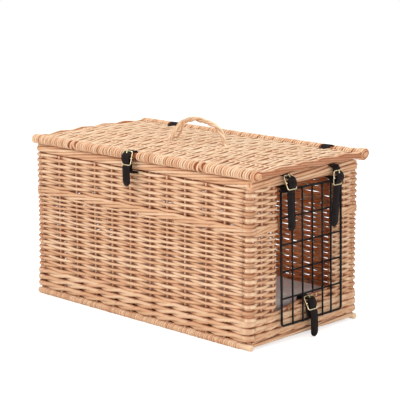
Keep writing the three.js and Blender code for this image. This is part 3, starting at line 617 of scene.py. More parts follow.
# Stakes on a stretch of the ring; those under the doorway end below the sill
def add_stakes(bundle, first, last, top, shorter=()):
    for shift in (-ring_length, 0):
        for index, run in enumerate(stake_runs + shift):
            if not first - 1e-6 <= run < last - 1e-6:
                continue
            height = sill_top - (run + 8 * MM) * sill_slope - 4 * MM if index in shorter else top
            foot = ring_point(np.array([run]), 0, weave_foot - 4 * MM)[0]
            head = np.array([foot[0], foot[1], height])
            middle = (foot + head) / 2 + (*chance.uniform(-0.4, 0.4, 2) * MM, 0)
            add_rod(bundle, [foot, middle, head], stake_radius, side=EAST, sides=10, blunt=(False, True),
                    tone=0.85, seam=0)


# Cut butts of new weavers show at the corners, every fourth row
def add_butts(bundle, corner, parity, proud):
    for index in range(parity, len(rows), 4):
        run = np.linspace(corner - 11 * MM, corner + 2.5 * MM, 10)
        tuck = np.clip((corner - 4 * MM - run) / (7 * MM), 0, 1)
        out = swing * (proud - 0.6 * tuck ** 2)
        route = ring_point(run, out, rows[index][0] - 1.5 * MM * tuck)
        add_rod(bundle, route, (3.0 + 0.5 * proud) * MM, sides=12, blunt=(True, True), tone=1.0, seam=0.4)


def build_walls():
    sill_stakes = (0, 1, stake_count - 1)
    wale_overrun = 5 * MM
    for name, (first, last) in wall_spans.items():
        bundle = Bundle(wall_shade)
        fullness = 1.2 if name in ("back_wall", "blind_end_wall") else 1.17
        for index in range(len(rows)):
            add_row(bundle, index, first, last, fullness=fullness)
        for wale in wales:
            add_wale(bundle, wale, first, last)
        add_stakes(bundle, first, last, weave_top)
        if name.startswith("corner"):
            corner = next(run for run in corner_runs if first < run < last)
            in_front = int(round(stake_phase(np.array([corner]))[0])) % 2
            add_butts(bundle, corner, in_front, 1.4 if name == "corner_post_front_door" else 0.7)
        woven_piece(f"{name}_weave", bundle, willow, "basket", name)
    bundle = Bundle(wall_shade)
    for index, (level, _) in enumerate(rows):
        if level > header_foot:
            continue
        reach = -8 * MM - (level + 3 * MM - sill_top) / sill_slope
        if reach > jamb_front:
            add_row(bundle, index, *sill_span)
            continue
        add_row(bundle, index, *front_jamb_span, edge="front")
        if reach > -jamb_back + 12 * MM:
            add_row(bundle, index, sill_span[0], reach)
        else:
            add_row(bundle, index, *back_jamb_span, edge="back")
    for wale in wales:
        if wale.level < sill_top:
            add_wale(bundle, wale, *sill_span)
        else:
            add_wale(bundle, wale, jamb_front - wale_overrun, wall_end_y)
            add_wale(bundle, wale, back_jamb_span[0], back_jamb_span[1] + wale_overrun)
    add_stakes(bundle, *sill_span, header_foot, shorter=sill_stakes)
    woven_piece("door_end_wall_weave", bundle, willow, "basket", "door_end_wall")


# A border bundle: strands laid round an oval core, turning slowly along it, with painted shade in between
def lay_shade(middle, half, long_axis):
    def crevice_shade(points):
        cross = [axis for axis in range(3) if axis != long_axis]
        share = np.hypot(*((points[:, axis] - middle[axis]) / half[axis] for axis in cross))
        along = np.abs(points[:, long_axis] - middle[long_axis])
        return (1 - smooth_step(0.62, 0.86, share)) * (along < half[long_axis] - 9 * MM)
    return crevice_shade


def add_lay(bundle, start, end, half_deep, half_tall, strand_radius, strands, lay):
    length = np.linalg.norm(end - start)
    share = np.linspace(0, 1, max(12, int(length / (6 * MM))))
    line = start + (end - start) * share[:, None]
    deep = unit(np.cross(unit(end - start), UP))
    for strand in range(strands):
        turn = 2 * math.pi * (strand / strands + share * length / lay)
        turn = turn + waver(share * length, 0.12, 0.16)
        offset = np.outer(np.cos(turn) * (half_deep - strand_radius), deep)
        offset = offset + np.outer(np.sin(turn) * (half_tall - strand_radius), UP)
        size = strand_radius * (1 + waver(share * length, 0.05, 0.2))
        add_rod(bundle, line + offset, size, sides=10, blunt=(True, True))
    add_rod(bundle, line, min(half_deep, half_tall) - strand_radius * 1.1, sides=8, tone=0.3)


# The bundle runs past its box at both ends, where borders cross, or stops short of them
def lay_piece(name, axis, past, lay, strand_radius=3.3 * MM, strands=7):
    low, high, middle = box(name)
    half = (high - low) / 2
    start, end = middle.copy(), middle.copy()
    start[axis] = low[axis] - past
    end[axis] = high[axis] + past
    bundle = Bundle(lay_shade(middle, half, axis))
    add_lay(bundle, start, end, half[1 - axis], half[2], strand_radius, strands, lay)
    woven_piece(f"{name}_lay", bundle, willow_border, "basket", name)


def build_borders():
    lay_piece("border_front", 0, -7 * MM, 0.34)
    lay_piece("border_back", 0, -7 * MM, 0.34)
    lay_piece("border_blind_end", 1, 13 * MM, 0.34)
    lay_piece("door_header", 1, 13 * MM, 0.62)


# A line round a stick that lies along X
def around(x, y, z, spread, turn):
    return np.column_stack([x, y + spread * np.cos(turn), z + spread * np.sin(turn)])


# Rings of weaver wound closely round a stick that lies along X
def add_wraps(bundle, first, last, pitch, y, z, ring_radius, rod_radius, skips=(), lean=0.35):
    turn = np.linspace(0, 2 * math.pi, 22)
    place = first + pitch / 2
    until_gap = 4
    while place < last:
        if not any(low < place < high for low, high in skips):
            tilt = lean * pitch * chance.uniform(0.7, 1.3)
            size = rod_radius * chance.uniform(0.93, 1.05)
            spread = ring_radius + chance.uniform(-0.25, 0.25) * MM
            x = place + tilt * np.sin(turn + 0.6)
            add_rod(bundle, around(x, y, z, spread, turn), size, side=EAST, sides=10)
        place += pitch * chance.uniform(0.94, 1.02)
        until_gap -= 1
        if until_gap == 0:
            place += chance.uniform(0.8, 1.9) * MM
            until_gap = int(chance.integers(3, 6))


def add_stick(bundle, low_x, high_x, y, z, radius, tone=0.5):
    x = np.linspace(low_x, high_x, 30)
    route = np.column_stack([x, np.full(30, y), z + waver(x, 0.25 * MM, 0.3)])
    add_rod(bundle, route, radius, sides=16, blunt=(True, True), tone=tone, seam=0)


closure_low, closure_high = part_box("closure_strap")
hinge_boxes = [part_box("lid_hinge_blind_strap"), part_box("lid_hinge_door_strap")]
knot_places = [basket_x - 167 * MM, basket_x + 177 * MM]
lid_pitch = 5.1 * MM
lid_swing = 1.5 * MM
lid_rod = 2.6 * MM
lid_strands = 4
wrap_pitch = 5.4 * MM
wrap_rod = 2.6 * MM
lid_stick_gap = 2 * roll_place / 5
lid_crown = 6 * MM
panel_low, panel_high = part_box("lid_panel")


def lid_height(y):
    return roll_height + lid_crown * (1 - (y / panel_high[1]) ** 2)


# The lid was woven a little askew, its front edge nearer the door
def lid_skew(y):
    return 2 * MM - 5 * MM * y / roll_place


# Painted shade: the lid rods are darkest near the lid's middle surface, between the rods, and unshaded on
# top
def lid_shade(points):
    off = np.abs(points[:, 2] - lid_height(points[:, 1]))
    return 0.8 - 0.8 * smooth_step(0.4 * MM, 1.8 * MM, off)


# Round a stick along X, painted shade darkens the places between the wraps
def stick_shade(y, z, radius, half):
    def crevice_shade(points):
        away = np.hypot(points[:, 1] - y, points[:, 2] - z)
        inner = 1 - smooth_step(half - 4 * MM, half - 1 * MM, np.abs(points[:, 0] - basket_x))
        return inner * (1 - smooth_step(radius - 2.3 * MM, radius - 0.9 * MM, away))
    return crevice_shade


def strap_gaps(side):
    boxes = [(closure_low, closure_high)] if side < 0 else hinge_boxes
    return [(low[0] - 3.5 * MM, high[0] + 7.5 * MM) for low, high in boxes]


# The front roll has two crossed knots, and the back roll's door end is bound with thicker rods
def build_rolls():
    turn = np.linspace(0, 2 * math.pi, 26)
    knot_half = 9 * MM
    knot_ring = roll_radius - 2.8 * MM
    for side, name in ((-1, "lid_roll_front"), (1, "lid_roll_back")):
        low, high, (_, y, _) = box(name)
        skew = lid_skew(y)
        start = low[0] + skew
        end = high[0] + skew
        knots = knot_places if side < 0 else []
        gaps = strap_gaps(side) + [(place - knot_half, place + knot_half) for place in knots]
        bundle = Bundle(stick_shade(y, roll_height, roll_radius, (high[0] - low[0]) / 2), seam=1.0)
        add_stick(bundle, start, end, y, roll_height, 5.6 * MM, 0.2)
        add_wraps(bundle, start + 2 * MM, end - 2 * MM, wrap_pitch, y, roll_height,
                  roll_radius - wrap_rod, wrap_rod, gaps)
        if side > 0:
            add_wraps(bundle, end - 19 * MM, end - 4 * MM, 5.6 * MM, y, roll_height,
                      roll_radius - 0.4 * MM, 3.0 * MM, lean=0.5)
        for place in knots:
            for way in (1, -1):
                x = place - way * 5.2 * MM + way * 3.4 * MM * np.sin(turn - 0.5)
                add_rod(bundle, around(x, y, roll_height, knot_ring, turn), 3.0 * MM, side=EAST, sides=8)
        woven_piece(f"{name}_wraps", bundle, willow_border, "lid", name)


def build_lid_panel():
    bundle = Bundle(lid_shade, seam=0.9)
    samples = np.linspace(panel_low[1], panel_high[1], 84)
    phase = (samples + roll_place) / lid_stick_gap
    place = panel_low[0] + lid_pitch / 2
    drift = [0.0, 0.22, -0.2]
    index = 0
    while place < panel_high[0] - lid_pitch / 4:
        index += 1
        if any(abs(place - middle) < 7 * MM for middle in knot_places):
            place += lid_pitch
            continue
        keep = np.ones(len(samples), bool)
        for side in (-1, 1):
            for low, high in strap_gaps(side):
                if low + 2.5 * MM < place < high - 5.5 * MM:
                    keep &= side * samples < panel_high[1] - 8 * MM
        y = samples[keep]
        height = lid_height(y) + lid_swing * np.cos(math.pi * (phase[keep] + index + drift[index % 3]))
        x = place + lid_skew(y) + waver(y, 0.5 * MM, 0.13)
        size = lid_rod * (1 + waver(y, 0.06, 0.2))
        add_rod(bundle, np.column_stack([x, y, height]), size, side=EAST, sides=10)
        place += lid_pitch
        if index % 5 in (0, 2):
            place += chance.uniform(0.9, 2.0) * MM
    for middle in knot_places:
        for turn in (0, 1):
            swing_out = 3.2 * MM * np.cos(math.pi * (phase + turn + 0.5))
            height = lid_height(samples) + (lid_swing + 0.6 * MM) * np.cos(math.pi * (phase + turn))
            route = np.column_stack([middle + swing_out + lid_skew(samples), samples, height])
            add_rod(bundle, route, 3.3 * MM, side=EAST, sides=10, tone=0.3)
    for stick in range(1, 5):
        y = -roll_place + stick * lid_stick_gap
        add_stick(bundle, panel_low[0], panel_high[0], y, lid_height(y), 2.6 * MM, 0.4)
    woven_piece("lid_panel_weave", bundle, willow_lid, "lid", "lid_panel")


# Painted shade between a lid end's strands, below the lid's surface
def end_shade(middle):
    def crevice_shade(points):
        off = np.abs(points[:, 0] - middle - lid_skew(points[:, 1]))
        under = smooth_step(1 * MM, 4 * MM, lid_height(points[:, 1]) - points[:, 2])
        return under * (1 - smooth_step(1.5 * MM, 4.5 * MM, off))
    return crevice_shade


def build_lid_ends():
    for name in ("lid_end_blind", "lid_end_door"):
        low, high, (x, _, _) = box(name)
        out = 1 if x > 0 else -1
        y = np.linspace(low[1], high[1], 90)
        bundle = Bundle(end_shade(x), seam=1.0)
        for strand in range(lid_strands):
            phase = np.mod((y + roll_place) / lid_stick_gap + strand, lid_strands)
            hidden = np.clip(1 - np.abs(phase - 3), 0, 1)
            depth = 3.0 * MM * np.cos(math.pi * hidden)
            height = np.interp(phase, [0, 2, 3, 4], [1, -1, -0.2, 1]) * 4.9 * MM
            middle = (lid_height(y) + low[2] + 9 * MM) / 2
            route = np.column_stack([x + out * depth + lid_skew(y), y, middle + height])
            add_rod(bundle, route, 2.95 * MM, side=EAST, sides=10, tone=0.3 + 0.15 * strand)
        add_rod(bundle, np.column_stack([x + lid_skew(y), y, lid_height(y) - 1 * MM]), 3.0 * MM, sides=8)
        woven_piece(f"{name}_wale", bundle, willow_border, "lid", name)


# A smooth line through some points
def through(points, count):
    points = np.array(points, dtype=float)
    padded = np.concatenate([2 * points[:1] - points[1:2], points, 2 * points[-1:] - points[-2:-1]])
    place = np.linspace(0, len(points) - 1.0001, count)
    leg = place.astype(int)
    t = (place - leg)[:, None]
    a, b, c, d = (padded[leg + k] for k in range(4))
    return 0.5 * (2 * b + (c - a) * t + (2 * a - 5 * b + 4 * c - d) * t ** 2
                  + (3 * b - a - 3 * c + d) * t ** 3)


# The handle: four thin rods twisted together over a lopsided arch, with its blind-end legs pulled
# forward round a thicker rod; its points are in millimetres
def build_handle():
    twist_length = 52 * MM
    _, high, (_, y, _) = box("handle") / MM
    top = high[2] - 6.8
    x = basket_x / MM
    foot = lid_height(0) / MM
    arch = [(x - 40, y, top - 11), (x - 24, y, top - 4), (x - 4, y, top), (x + 18, y, top - 0.6),
            (x + 38, y, top - 4), (x + 56, y, top - 11), (x + 68, y, top - 21), (x + 74, y, top - 33)]
    long_leg = [(x - 52, y - 29, foot - 7), (x - 50, y - 26, foot + 1), (x - 46, y - 12, foot + 18)]
    short_leg = [(x - 42, y - 7, foot - 7), (x - 42, y - 7, foot), (x - 41, y - 3, foot + 14)]
    bundle = Bundle(seam=0.5)
    for strand in range(4):
        legs = short_leg if strand == 3 else long_leg
        angle = strand * math.pi / 2
        splay = (x + 78 + 5 * math.cos(angle), y + 5 * math.sin(angle), foot)
        toe = (splay[0] + 1, splay[1], foot - 7)
        line = through(np.array(legs + arch + [splay, toe]) * MM, 150)
        run = run_along(line)
        heading = unit(np.gradient(line, axis=0))
        out = unit(np.cross(heading, NORTH))
        beside = np.cross(out, heading)
        spin = angle + 2 * math.pi * run / twist_length
        spread = 2.9 * MM * (1 + waver(run, 0.1, 0.07))
        route = line + spread[:, None] * (np.cos(spin)[:, None] * out + np.sin(spin)[:, None] * beside)
        size = (2.3 if strand % 2 else 2.6) * MM * (1 + waver(run, 0.06, 0.1))
        add_rod(bundle, route, size, side=NORTH, sides=12, blunt=(True, True),
                tone=(0.8, 0.45, 1.0, 0.2)[strand])
    leg = through(np.array(long_leg + arch[:2]) * MM, 40)
    add_rod(bundle, leg, 3.1 * MM, side=NORTH, sides=12, blunt=(True, True), tone=0.0, seam=0)
    woven_piece("handle_twist", bundle, willow_lid, "lid", "handle")


def build_base():
    wrap_inset = 2.3 * MM
    for name in ("base_stick_front", "base_stick_back"):
        low, high, (_, y, z) = box(name)
        bundle = Bundle(stick_shade(y, z, high[2] - z, half_length), seam=1.0)
        add_stick(bundle, low[0], high[0], y, z, 5.9 * MM, 0.9)
        add_wraps(bundle, low[0] + 5 * MM, high[0] - 25 * MM, 5.2 * MM, y, z,
                  high[2] - z - wrap_inset, 2.4 * MM, lean=0.45)
        woven_piece(f"{name}_wraps", bundle, willow_border, "basket", name)
    for name in ("base_end_blind", "base_end_door"):
        lay_piece(name, 1, 0, 0.5, 2.6 * MM, 5)
    low, high, (_, _, z) = box("base_panel")
    bundle = Bundle()
    samples = np.linspace(low[1], high[1], 56)
    outer_stick = half_width - 7.5 * MM
    gap = 2 * outer_stick / 4
    phase = (samples + outer_stick) / gap
    pitch = 6.8 * MM
    for index in range(int((high[0] - low[0]) / pitch)):
        x = low[0] + (index + 0.5) * pitch
        height = z + 2.6 * MM * np.cos(math.pi * (phase + index))
        add_rod(bundle, np.column_stack([x + waver(samples, 0.5 * MM), samples, height]), 2.9 * MM,
                side=EAST, sides=6)
    for stick in (1, 2, 3):
        add_stick(bundle, low[0], high[0], stick * gap - outer_stick, z, 2.6 * MM, 0.4)
    woven_piece("base_panel_weave", bundle, willow, "basket", "base_panel")


# Straps: a flat section swept along a route in the plane (out from the wall, up); a loop runs
# round the border and back
strap_half = (closure_high[0] - closure_low[0]) / 2 + 0.5 * MM
strap_thick = 2.0 * MM
loop_radius = 1.4 * MM
loop_depth = 20 * MM + loop_radius
bend = 2 * MM

# Buckle sizes: a bent wire frame with a middle bar, which the strap folds round and arches over
bar = 2.1 * MM
buckle_reach = 13.2 * MM
buckle_wire = 1.05 * MM
bar_round = math.hypot(bar, 2 * MM) / 2
bar_clear = bar_round + 0.3 * MM + strap_thick / 2
buckle_depth = bar_clear + strap_thick + 0.3 * MM
arch_reach = buckle_depth + 1.2 * MM
rise = buckle_reach - 1.8 * MM
slip_in = (-bar_clear * 0.9, rise)
slip_out = (-bar_clear * 0.8, -rise - 0.6 * MM)


def arc(centre, radius, first, last, count=10):
    turn = np.radians(np.linspace(first, last, count))
    return np.column_stack([centre[0] + radius * np.cos(turn), centre[1] + radius * np.sin(turn)])


def curve(first, control, last, count=8):
    share = np.linspace(0, 1, count)[:, None]
    first, control, last = (np.array(point) for point in (first, control, last))
    return (1 - share) ** 2 * first + 2 * share * (1 - share) * control + share ** 2 * last


def dense(parts, step=1.6 * MM):
    points = np.concatenate([np.atleast_2d(part) for part in parts])
    gaps = np.linalg.norm(np.diff(points, axis=0), axis=1)
    points = points[np.concatenate([[True], gaps > 1e-5])]
    lengths = run_along(points)
    marks = np.linspace(0, lengths[-1], max(4, int(lengths[-1] / step)))
    return np.column_stack([np.interp(marks, lengths, points[:, k]) for k in (0, 1)]), marks


# Where a buckle sits: the plane of its strap, its place in that plane, and how far its top leans in
class Seat:
    def __init__(self, buckle, origin, way, shift_out, shift_up, lean=0.0):
        middle = box(buckle)[2]
        self.origin = np.array(origin)
        self.way = np.array(way)
        self.across = np.cross(UP, self.way)
        self.out = np.dot(middle - self.origin, self.way) + shift_out
        self.up = middle[2] + shift_up
        self.lean = math.radians(lean)

    def at(self, points):
        points = np.atleast_2d(np.array(points, dtype=float))
        cos, sin = math.cos(self.lean), math.sin(self.lean)
        return np.column_stack([self.out + points[:, 0] * cos - points[:, 1] * sin,
                                self.up + points[:, 0] * sin + points[:, 1] * cos])

    def place(self, out, up, across):
        return self.origin + self.way * out + UP * up + self.across * across

    # Wire parts are planned round the buckle's middle: out, up and across
    def wire(self, plan):
        flat = self.at([point[:2] for point in plan])
        return [self.place(out, up, point[2]) for (out, up), point in zip(flat, plan)]

    def entry(self):
        return self.at([slip_in])[0]

    def tail_start(self):
        return self.at([slip_out])[0]


# The section has rounded edges and a shallow crease pressed along each side
def strap_section(reach):
    thick = strap_thick / 2
    soft = 0.55 * MM
    groove = min(1.6 * MM, reach * 0.4)
    top = [(-reach, thick - soft), (-reach + soft, thick), (-reach + groove, thick),
           (-reach + groove * 1.25, thick - 0.28 * MM), (-reach + groove * 1.5, thick)]
    return ([(-reach, -thick + soft)] + top + [(-across, lift) for across, lift in reversed(top)]
            + [(reach, -thick + soft), (reach - soft, -thick), (-reach + soft, -thick)])


def strap_piece(name, parts, seat, body, node, round_end=False, drift=0.0, aside=0.0):
    route, marks = dense(parts)
    heading = unit(np.gradient(route, axis=0))
    normal = np.column_stack([-heading[:, 1], heading[:, 0]])
    half = np.full(len(marks), strap_half)
    if round_end:
        extra = np.linspace(0, 1, 9)[1:-1] * strap_half
        wanted = np.union1d(marks, np.clip(marks[-1] - extra, 0, None))
        route = np.column_stack([np.interp(wanted, marks, route[:, k]) for k in (0, 1)])
        normal = np.column_stack([np.interp(wanted, marks, normal[:, k]) for k in (0, 1)])
        marks = wanted
        left = np.clip(strap_half - (marks[-1] - marks), 0, strap_half * 0.985)
        half = np.sqrt(strap_half ** 2 - left ** 2)
    shifts = aside + drift * marks / marks[-1]
    points = []
    for (out, up), (normal_out, normal_up), reach, shift in zip(route, normal, half, shifts):
        points += [tuple(seat.place(out + normal_out * lift, up + normal_up * lift, across + shift))
                   for across, lift in strap_section(reach)]
    sides = 14
    last = (len(marks) - 1) * sides
    faces = [[ring + k, ring + (k + 1) % sides, ring + sides + (k + 1) % sides, ring + sides + k]
             for ring in range(0, last, sides) for k in range(sides)]
    faces += [list(reversed(range(sides))), list(range(last, last + sides))]
    piece = mesh_piece(name, points, faces, leather, body, node)
    shell = bmesh.new()
    shell.from_mesh(piece.data)
    bmesh.ops.recalc_face_normals(shell, faces=shell.faces)
    shell.to_mesh(piece.data)
    shell.free()
    piece.data.shade_smooth()
    bpy.ops.object.select_all(action="DESELECT")
    piece.select_set(True)
    bpy.context.view_layer.objects.active = piece
    bpy.ops.object.shade_smooth_by_angle(angle=math.radians(50))
    piece.select_set(False)


# Behind the top bar, over the middle bar and behind the bottom bar
def over_buckle(seat):
    crest = (arch_reach, 1 * MM)
    climb = curve(slip_in, (arch_reach * 0.95, rise * 0.75), crest, 12)
    drop = curve(crest, (arch_reach * 1.05, -rise * 0.55), slip_out, 12)
    return [seat.at(climb), seat.at(drop)]


# The strap's end, turned round the middle bar from its front to its back
def folded_end(seat):
    fold = np.concatenate([[(bar_clear * 0.3, -3.6 * MM)], arc((0, 0), bar_clear, -8, 180, 12),
                           [(-buckle_depth, -buckle_reach * 0.6)]])
    return [seat.at(fold)]


# Over the lid's roll, through the buckle, and back into the wall under the border
def roll_strap_parts(seat, tail_end):
    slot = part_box("closure_anchor")[0][2] + 1 * MM
    top = roll_height - 10.8 * MM
    ring = roll_radius - 1.2 * MM
    gap = math.hypot(loop_depth, roll_height - top)
    slope = math.degrees(math.atan2(roll_height - top, loop_depth) + math.asin(ring / gap)) + 90
    hang = seat.tail_start()
    over = [arc((0, roll_height), ring, slope, 72, 22)] + over_buckle(seat)
    over += [curve(hang, hang + (3.2 * MM, -2.5 * MM), hang + (3.6 * MM, -8 * MM)),
             np.array([(hang[0] + 3.4 * MM, tail_end)])]
    back = folded_end(seat)
    behind = back[0][-1][0]
    back += [curve(back[0][-1], (behind + 1.5 * MM, slot + 8 * MM), (behind, slot + 4 * MM)),
             curve((behind, slot + 4 * MM), (behind - 0.5 * MM, slot), (behind - 5 * MM, slot))]
    inside = [curve((3 * MM - loop_depth, slot), (-loop_depth, slot), (-loop_depth, slot + 3 * MM)),
              np.array([(-loop_depth, top)])]
    return over, back, inside


# A buckle bent from round wire, with its middle bar and the prong that turns on it
def buckle_pieces(prefix, seat, body):
    ring = bar_round + 1.1 * MM
    tip = buckle_wire + 0.9 * MM
    plan = np.concatenate([arc((0, 0), ring, -90, -270, 14),
                           curve((0, ring), (tip * 1.9, ring * 0.9), (tip * 1.9, buckle_reach * 0.55), 6),
                           [(tip, buckle_reach + 1.4 * MM)]])
    bundle = Bundle()
    add_rod(bundle, seat.wire(np.column_stack([plan, np.zeros(len(plan))])), 0.9 * MM,
            side=seat.across, sides=12, blunt=(True, True))
    woven_piece(f"{prefix}_prong_wire", bundle, brass, body, f"{prefix}_prong")
    half = strap_half + 1.7 * MM
    corner = 3.4 * MM
    plan = []
    for across, up, first in ((1, 1, 0), (-1, 1, 90), (-1, -1, 180), (1, -1, 270)):
        centre = (across * (half - corner), up * (buckle_reach - corner))
        plan += arc(centre, corner, first, first + 90, 6).tolist()
    plan = np.array(plan + plan[:2])
    bow = 0.9 * MM * np.cos(plan[:, 0] / half * math.pi / 2) - 0.5 * MM
    frame_plan = np.column_stack([bow * np.sign(-plan[:, 1]).clip(0, 1), plan[:, 1], plan[:, 0]])
    bundle = Bundle()
    add_rod(bundle, seat.wire(frame_plan), buckle_wire, side=seat.way, sides=12)
    bar_plan = [(0, 0, -half), (0, 0, 0), (0, 0, half)]
    add_rod(bundle, seat.wire(bar_plan), buckle_wire * 0.95, side=seat.way, sides=12)
    woven_piece(f"{prefix}_buckle_wire", bundle, brass, body, f"{prefix}_buckle")


def build_lid_straps():
    origin = ((closure_low[0] + closure_high[0]) / 2 - 0.8 * MM, -half_width, 0)
    seat = Seat("closure_buckle", origin, (0, -1, 0), -1.2 * MM, 1.8 * MM, 15.5)
    over, back, inside = roll_strap_parts(seat, closure_low[2] + 2 * MM)
    start = np.array([(1.2 * MM - loop_depth, border_top + 1.5 * MM)])
    anchor = [np.array([(-strap_thick, inside[0][0][1])])] + inside
    strap_piece("closure_strap_leather", [start] + over, seat, "lid", "closure_strap", True, 3.0 * MM)
    strap_piece("closure_strap_back_leather", back, seat, "lid", "closure_strap_back", drift=2.5 * MM)
    strap_piece("closure_anchor_leather", anchor, seat, "basket", "closure_anchor", aside=2.5 * MM)
    buckle_pieces("closure", seat, "lid")
    for prefix in ("lid_hinge_blind", "lid_hinge_door"):
        low, _, middle = box(f"{prefix}_strap")
        seat = Seat(f"{prefix}_buckle", (middle[0], half_width, 0), (0, 1, 0), -0.5 * MM, -1.5 * MM)
        over, back, inside = roll_strap_parts(seat, low[2])
        strap_piece(f"{prefix}_leather", back + inside + over, seat, "basket", f"{prefix}_strap", True)
        buckle_pieces(prefix, seat, "basket")


# The wire door hangs with its foot further out than its top
door_lean = 6.2 * MM
door_plane = 3.4 * MM
frame_wire = 2.2 * MM


# One door strap: how its buckle sits off the plain seat, and where its tail's tip hangs
def door_strap(name, shift_out, shift_up, shift_side, lean, tip_out, tip_side, tip_up):
    prefix = f"door_strap_{name}"
    low, high, middle = box(f"{prefix}_tail")
    seat = Seat(f"{prefix}_buckle", (door_face, middle[1] + shift_side, 0), (1, 0, 0),
                shift_out, shift_up, lean)
    under = header_foot - loop_radius
    inside = bend - loop_depth
    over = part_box(f"{prefix}_loop")[1][2] - strap_thick / 2
    entry = seat.entry()
    hang = seat.tail_start()
    joint = (min(hang[0] + 0.8 * MM, 14.5 * MM), high[2] + 0.4 * MM)
    door_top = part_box("wire_door")[1][2] - frame_wire
    loop = folded_end(seat) + [arc((door_plane, door_top), frame_wire + loop_radius, 0, -144, 12),
                               np.array([(-4 * MM, under), (inside, under)]),
                               arc((inside, under + bend), bend, -90, -180, 6),
                               arc((inside, over - bend), bend, 180, 90, 6),
                               curve((-2 * MM, over), (entry[0] - 1.5 * MM, over + 0.4 * MM), entry, 12)]
    loop += over_buckle(seat) + [curve(hang, (joint[0] - 0.2 * MM, (hang[1] + joint[1]) / 2), joint)]
    tail = [np.array([(joint[0], high[2]), (tip_out, low[2] + tip_up)])]
    strap_piece(f"{prefix}_leather", loop, seat, "basket", f"{prefix}_loop")
    strap_piece(f"{prefix}_tail_leather", tail, seat, f"{name}_tail", f"{prefix}_tail", True, tip_side)
    buckle_pieces(prefix, seat, "basket")


# The front strap's buckle stands off the header, and the back one hangs flat
def build_door_straps():
    door_strap("front", 0.5 * MM, 5.3 * MM, 0.7 * MM, 27.0, 14.0 * MM, 4.5 * MM, 2.0 * MM)
    door_strap("back", -1.8 * MM, -4.4 * MM, -2.6 * MM, 0.0, 9.5 * MM, -6.5 * MM, -3.0 * MM)


# Round the sill, and through the buckle down past the door's bottom wire
def build_latch():
    low, _, middle = box("latch_strap")
    seat = Seat("latch_buckle", (door_face, middle[1] - 3.6 * MM, 0), (1, 0, 0),
                -3.6 * MM, -0.4 * MM, 32.0)
    over = sill_top + loop_radius
    anchor_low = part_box("latch_anchor")[0]
    slot = anchor_low[2] + 1 * MM
    inside = anchor_low[0] + 1 * MM - door_face + bend
    anchor = [np.array([(-0.5 * MM, over), (inside, over)]),
              arc((inside, over - bend), bend, 90, 180, 6),
              arc((inside, slot + bend), bend, 180, 270, 6),
              np.array([(-strap_thick / 2, slot), (5 * MM, slot - 1 * MM)])]
    hang = seat.tail_start()
    front = [np.array([(-0.8 * MM, over)]), np.array([seat.entry()])] + over_buckle(seat)
    front += [curve(hang, hang + (4.6 * MM, -3 * MM), hang + (5.2 * MM, -11 * MM)),
              np.array([(hang[0] + 6.6 * MM, low[2] - 9.4 * MM)])]
    door_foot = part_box("wire_door")[0][2] + frame_wire
    back = folded_end(seat) + [arc((door_plane + door_lean, door_foot), 3.5 * MM, 20, -90, 9)]
    strap_piece("latch_anchor_leather", anchor, seat, "basket", "latch_anchor", drift=-9 * MM)
    strap_piece("latch_strap_leather", front, seat, "door", "latch_strap", True)
    strap_piece("latch_strap_back_leather", back, seat, "door", "latch_strap_back", drift=-5 * MM)
    buckle_pieces("latch", seat, "door")


# Wire door, with a small weld bead at each crossing; the middle upright stops one cell short
def build_door():
    low, high, _ = box("wire_door")
    columns = 6
    cell_rows = 5
    short_column = 3
    corner = 6 * MM
    upright_radius = 1.8 * MM
    cross_radius = 1.7 * MM
    last_shift = 3.4 * MM
    bead_plan = np.array([(0.5, -2.3, 0), (1.1, -1.2, 0), (1.1, 1.2, 0), (0.5, 2.3, 0)]) * MM
    bead_size = np.array([0.5, 1.5, 1.5, 0.5]) * MM
    x = door_face + door_plane
    cross_x = x - 0.7 * MM
    upright_x = cross_x + 2.7 * MM
    left = low[1] + frame_wire
    right = high[1] - frame_wire
    foot = low[2] + frame_wire - 3 * MM
    top = high[2] - frame_wire
    width = (right - left) / columns
    height = (top - foot) / cell_rows
    sweep = np.concatenate([[(left, top)], arc((left + corner, foot + corner), corner, 180, 270, 10),
                            arc((right - corner, foot + corner), corner, 270, 360, 10), [(right, top)]])
    bundle = Bundle()
    add_rod(bundle, [(x, y, z) for y, z in sweep], frame_wire, side=EAST, sides=16)
    add_rod(bundle, [(x, left - frame_wire, top), (x, right + frame_wire, top)], frame_wire,
            side=EAST, sides=16, blunt=(True, True))
    # the last upright stands clear of the back buckle when the door is up
    places = {column: left + column * width for column in range(1, columns)}
    places[columns - 1] -= last_shift
    for column, y in places.items():
        start = foot + (height if column == short_column else 0)
        add_rod(bundle, [(upright_x, y, start - 1.2 * MM), (upright_x, y, top)], upright_radius,
                side=EAST, sides=12, blunt=(True, True))
    for row in range(1, cell_rows):
        z = top - row * height
        add_rod(bundle, [(cross_x, left, z), (cross_x, right, z)], cross_radius, side=EAST, sides=12)
        for y in places.values():
            add_rod(bundle, bead_plan + (cross_x, y, z), bead_size)
    for points in bundle.points:
        points[:, 0] += door_lean * (top - points[:, 2]) / (top - foot)
    woven_piece("wire_door_wires", bundle, powder_coat, "door", "wire_door")


# The cushion's cloth under pressure, held to a few millimetres of swell
def puffed(pad, low, high):
    last_frame = 20
    most = 8 * MM
    before = np.array([vertex.co for vertex in pad.data.vertices])
    puff = pad.modifiers.new("puff", "CLOTH")
    puff.settings.use_pressure = True
    puff.settings.uniform_pressure_force = 4.0
    puff.settings.effector_weights.gravity = 0
    puff.settings.quality = 6
    puff.point_cache.frame_end = last_frame
    for number in range(1, last_frame + 1):
        bpy.context.scene.frame_set(number)
    bpy.ops.object.modifier_apply(modifier="puff")
    bpy.context.scene.frame_set(1)
    move = np.array([vertex.co for vertex in pad.data.vertices]) - before
    far = np.linalg.norm(move, axis=1, keepdims=True)
    places = np.clip(before + move * np.minimum(1, most / np.maximum(far, 1e-9)), low, high)
    pad.data.vertices.foreach_set("co", places.ravel())


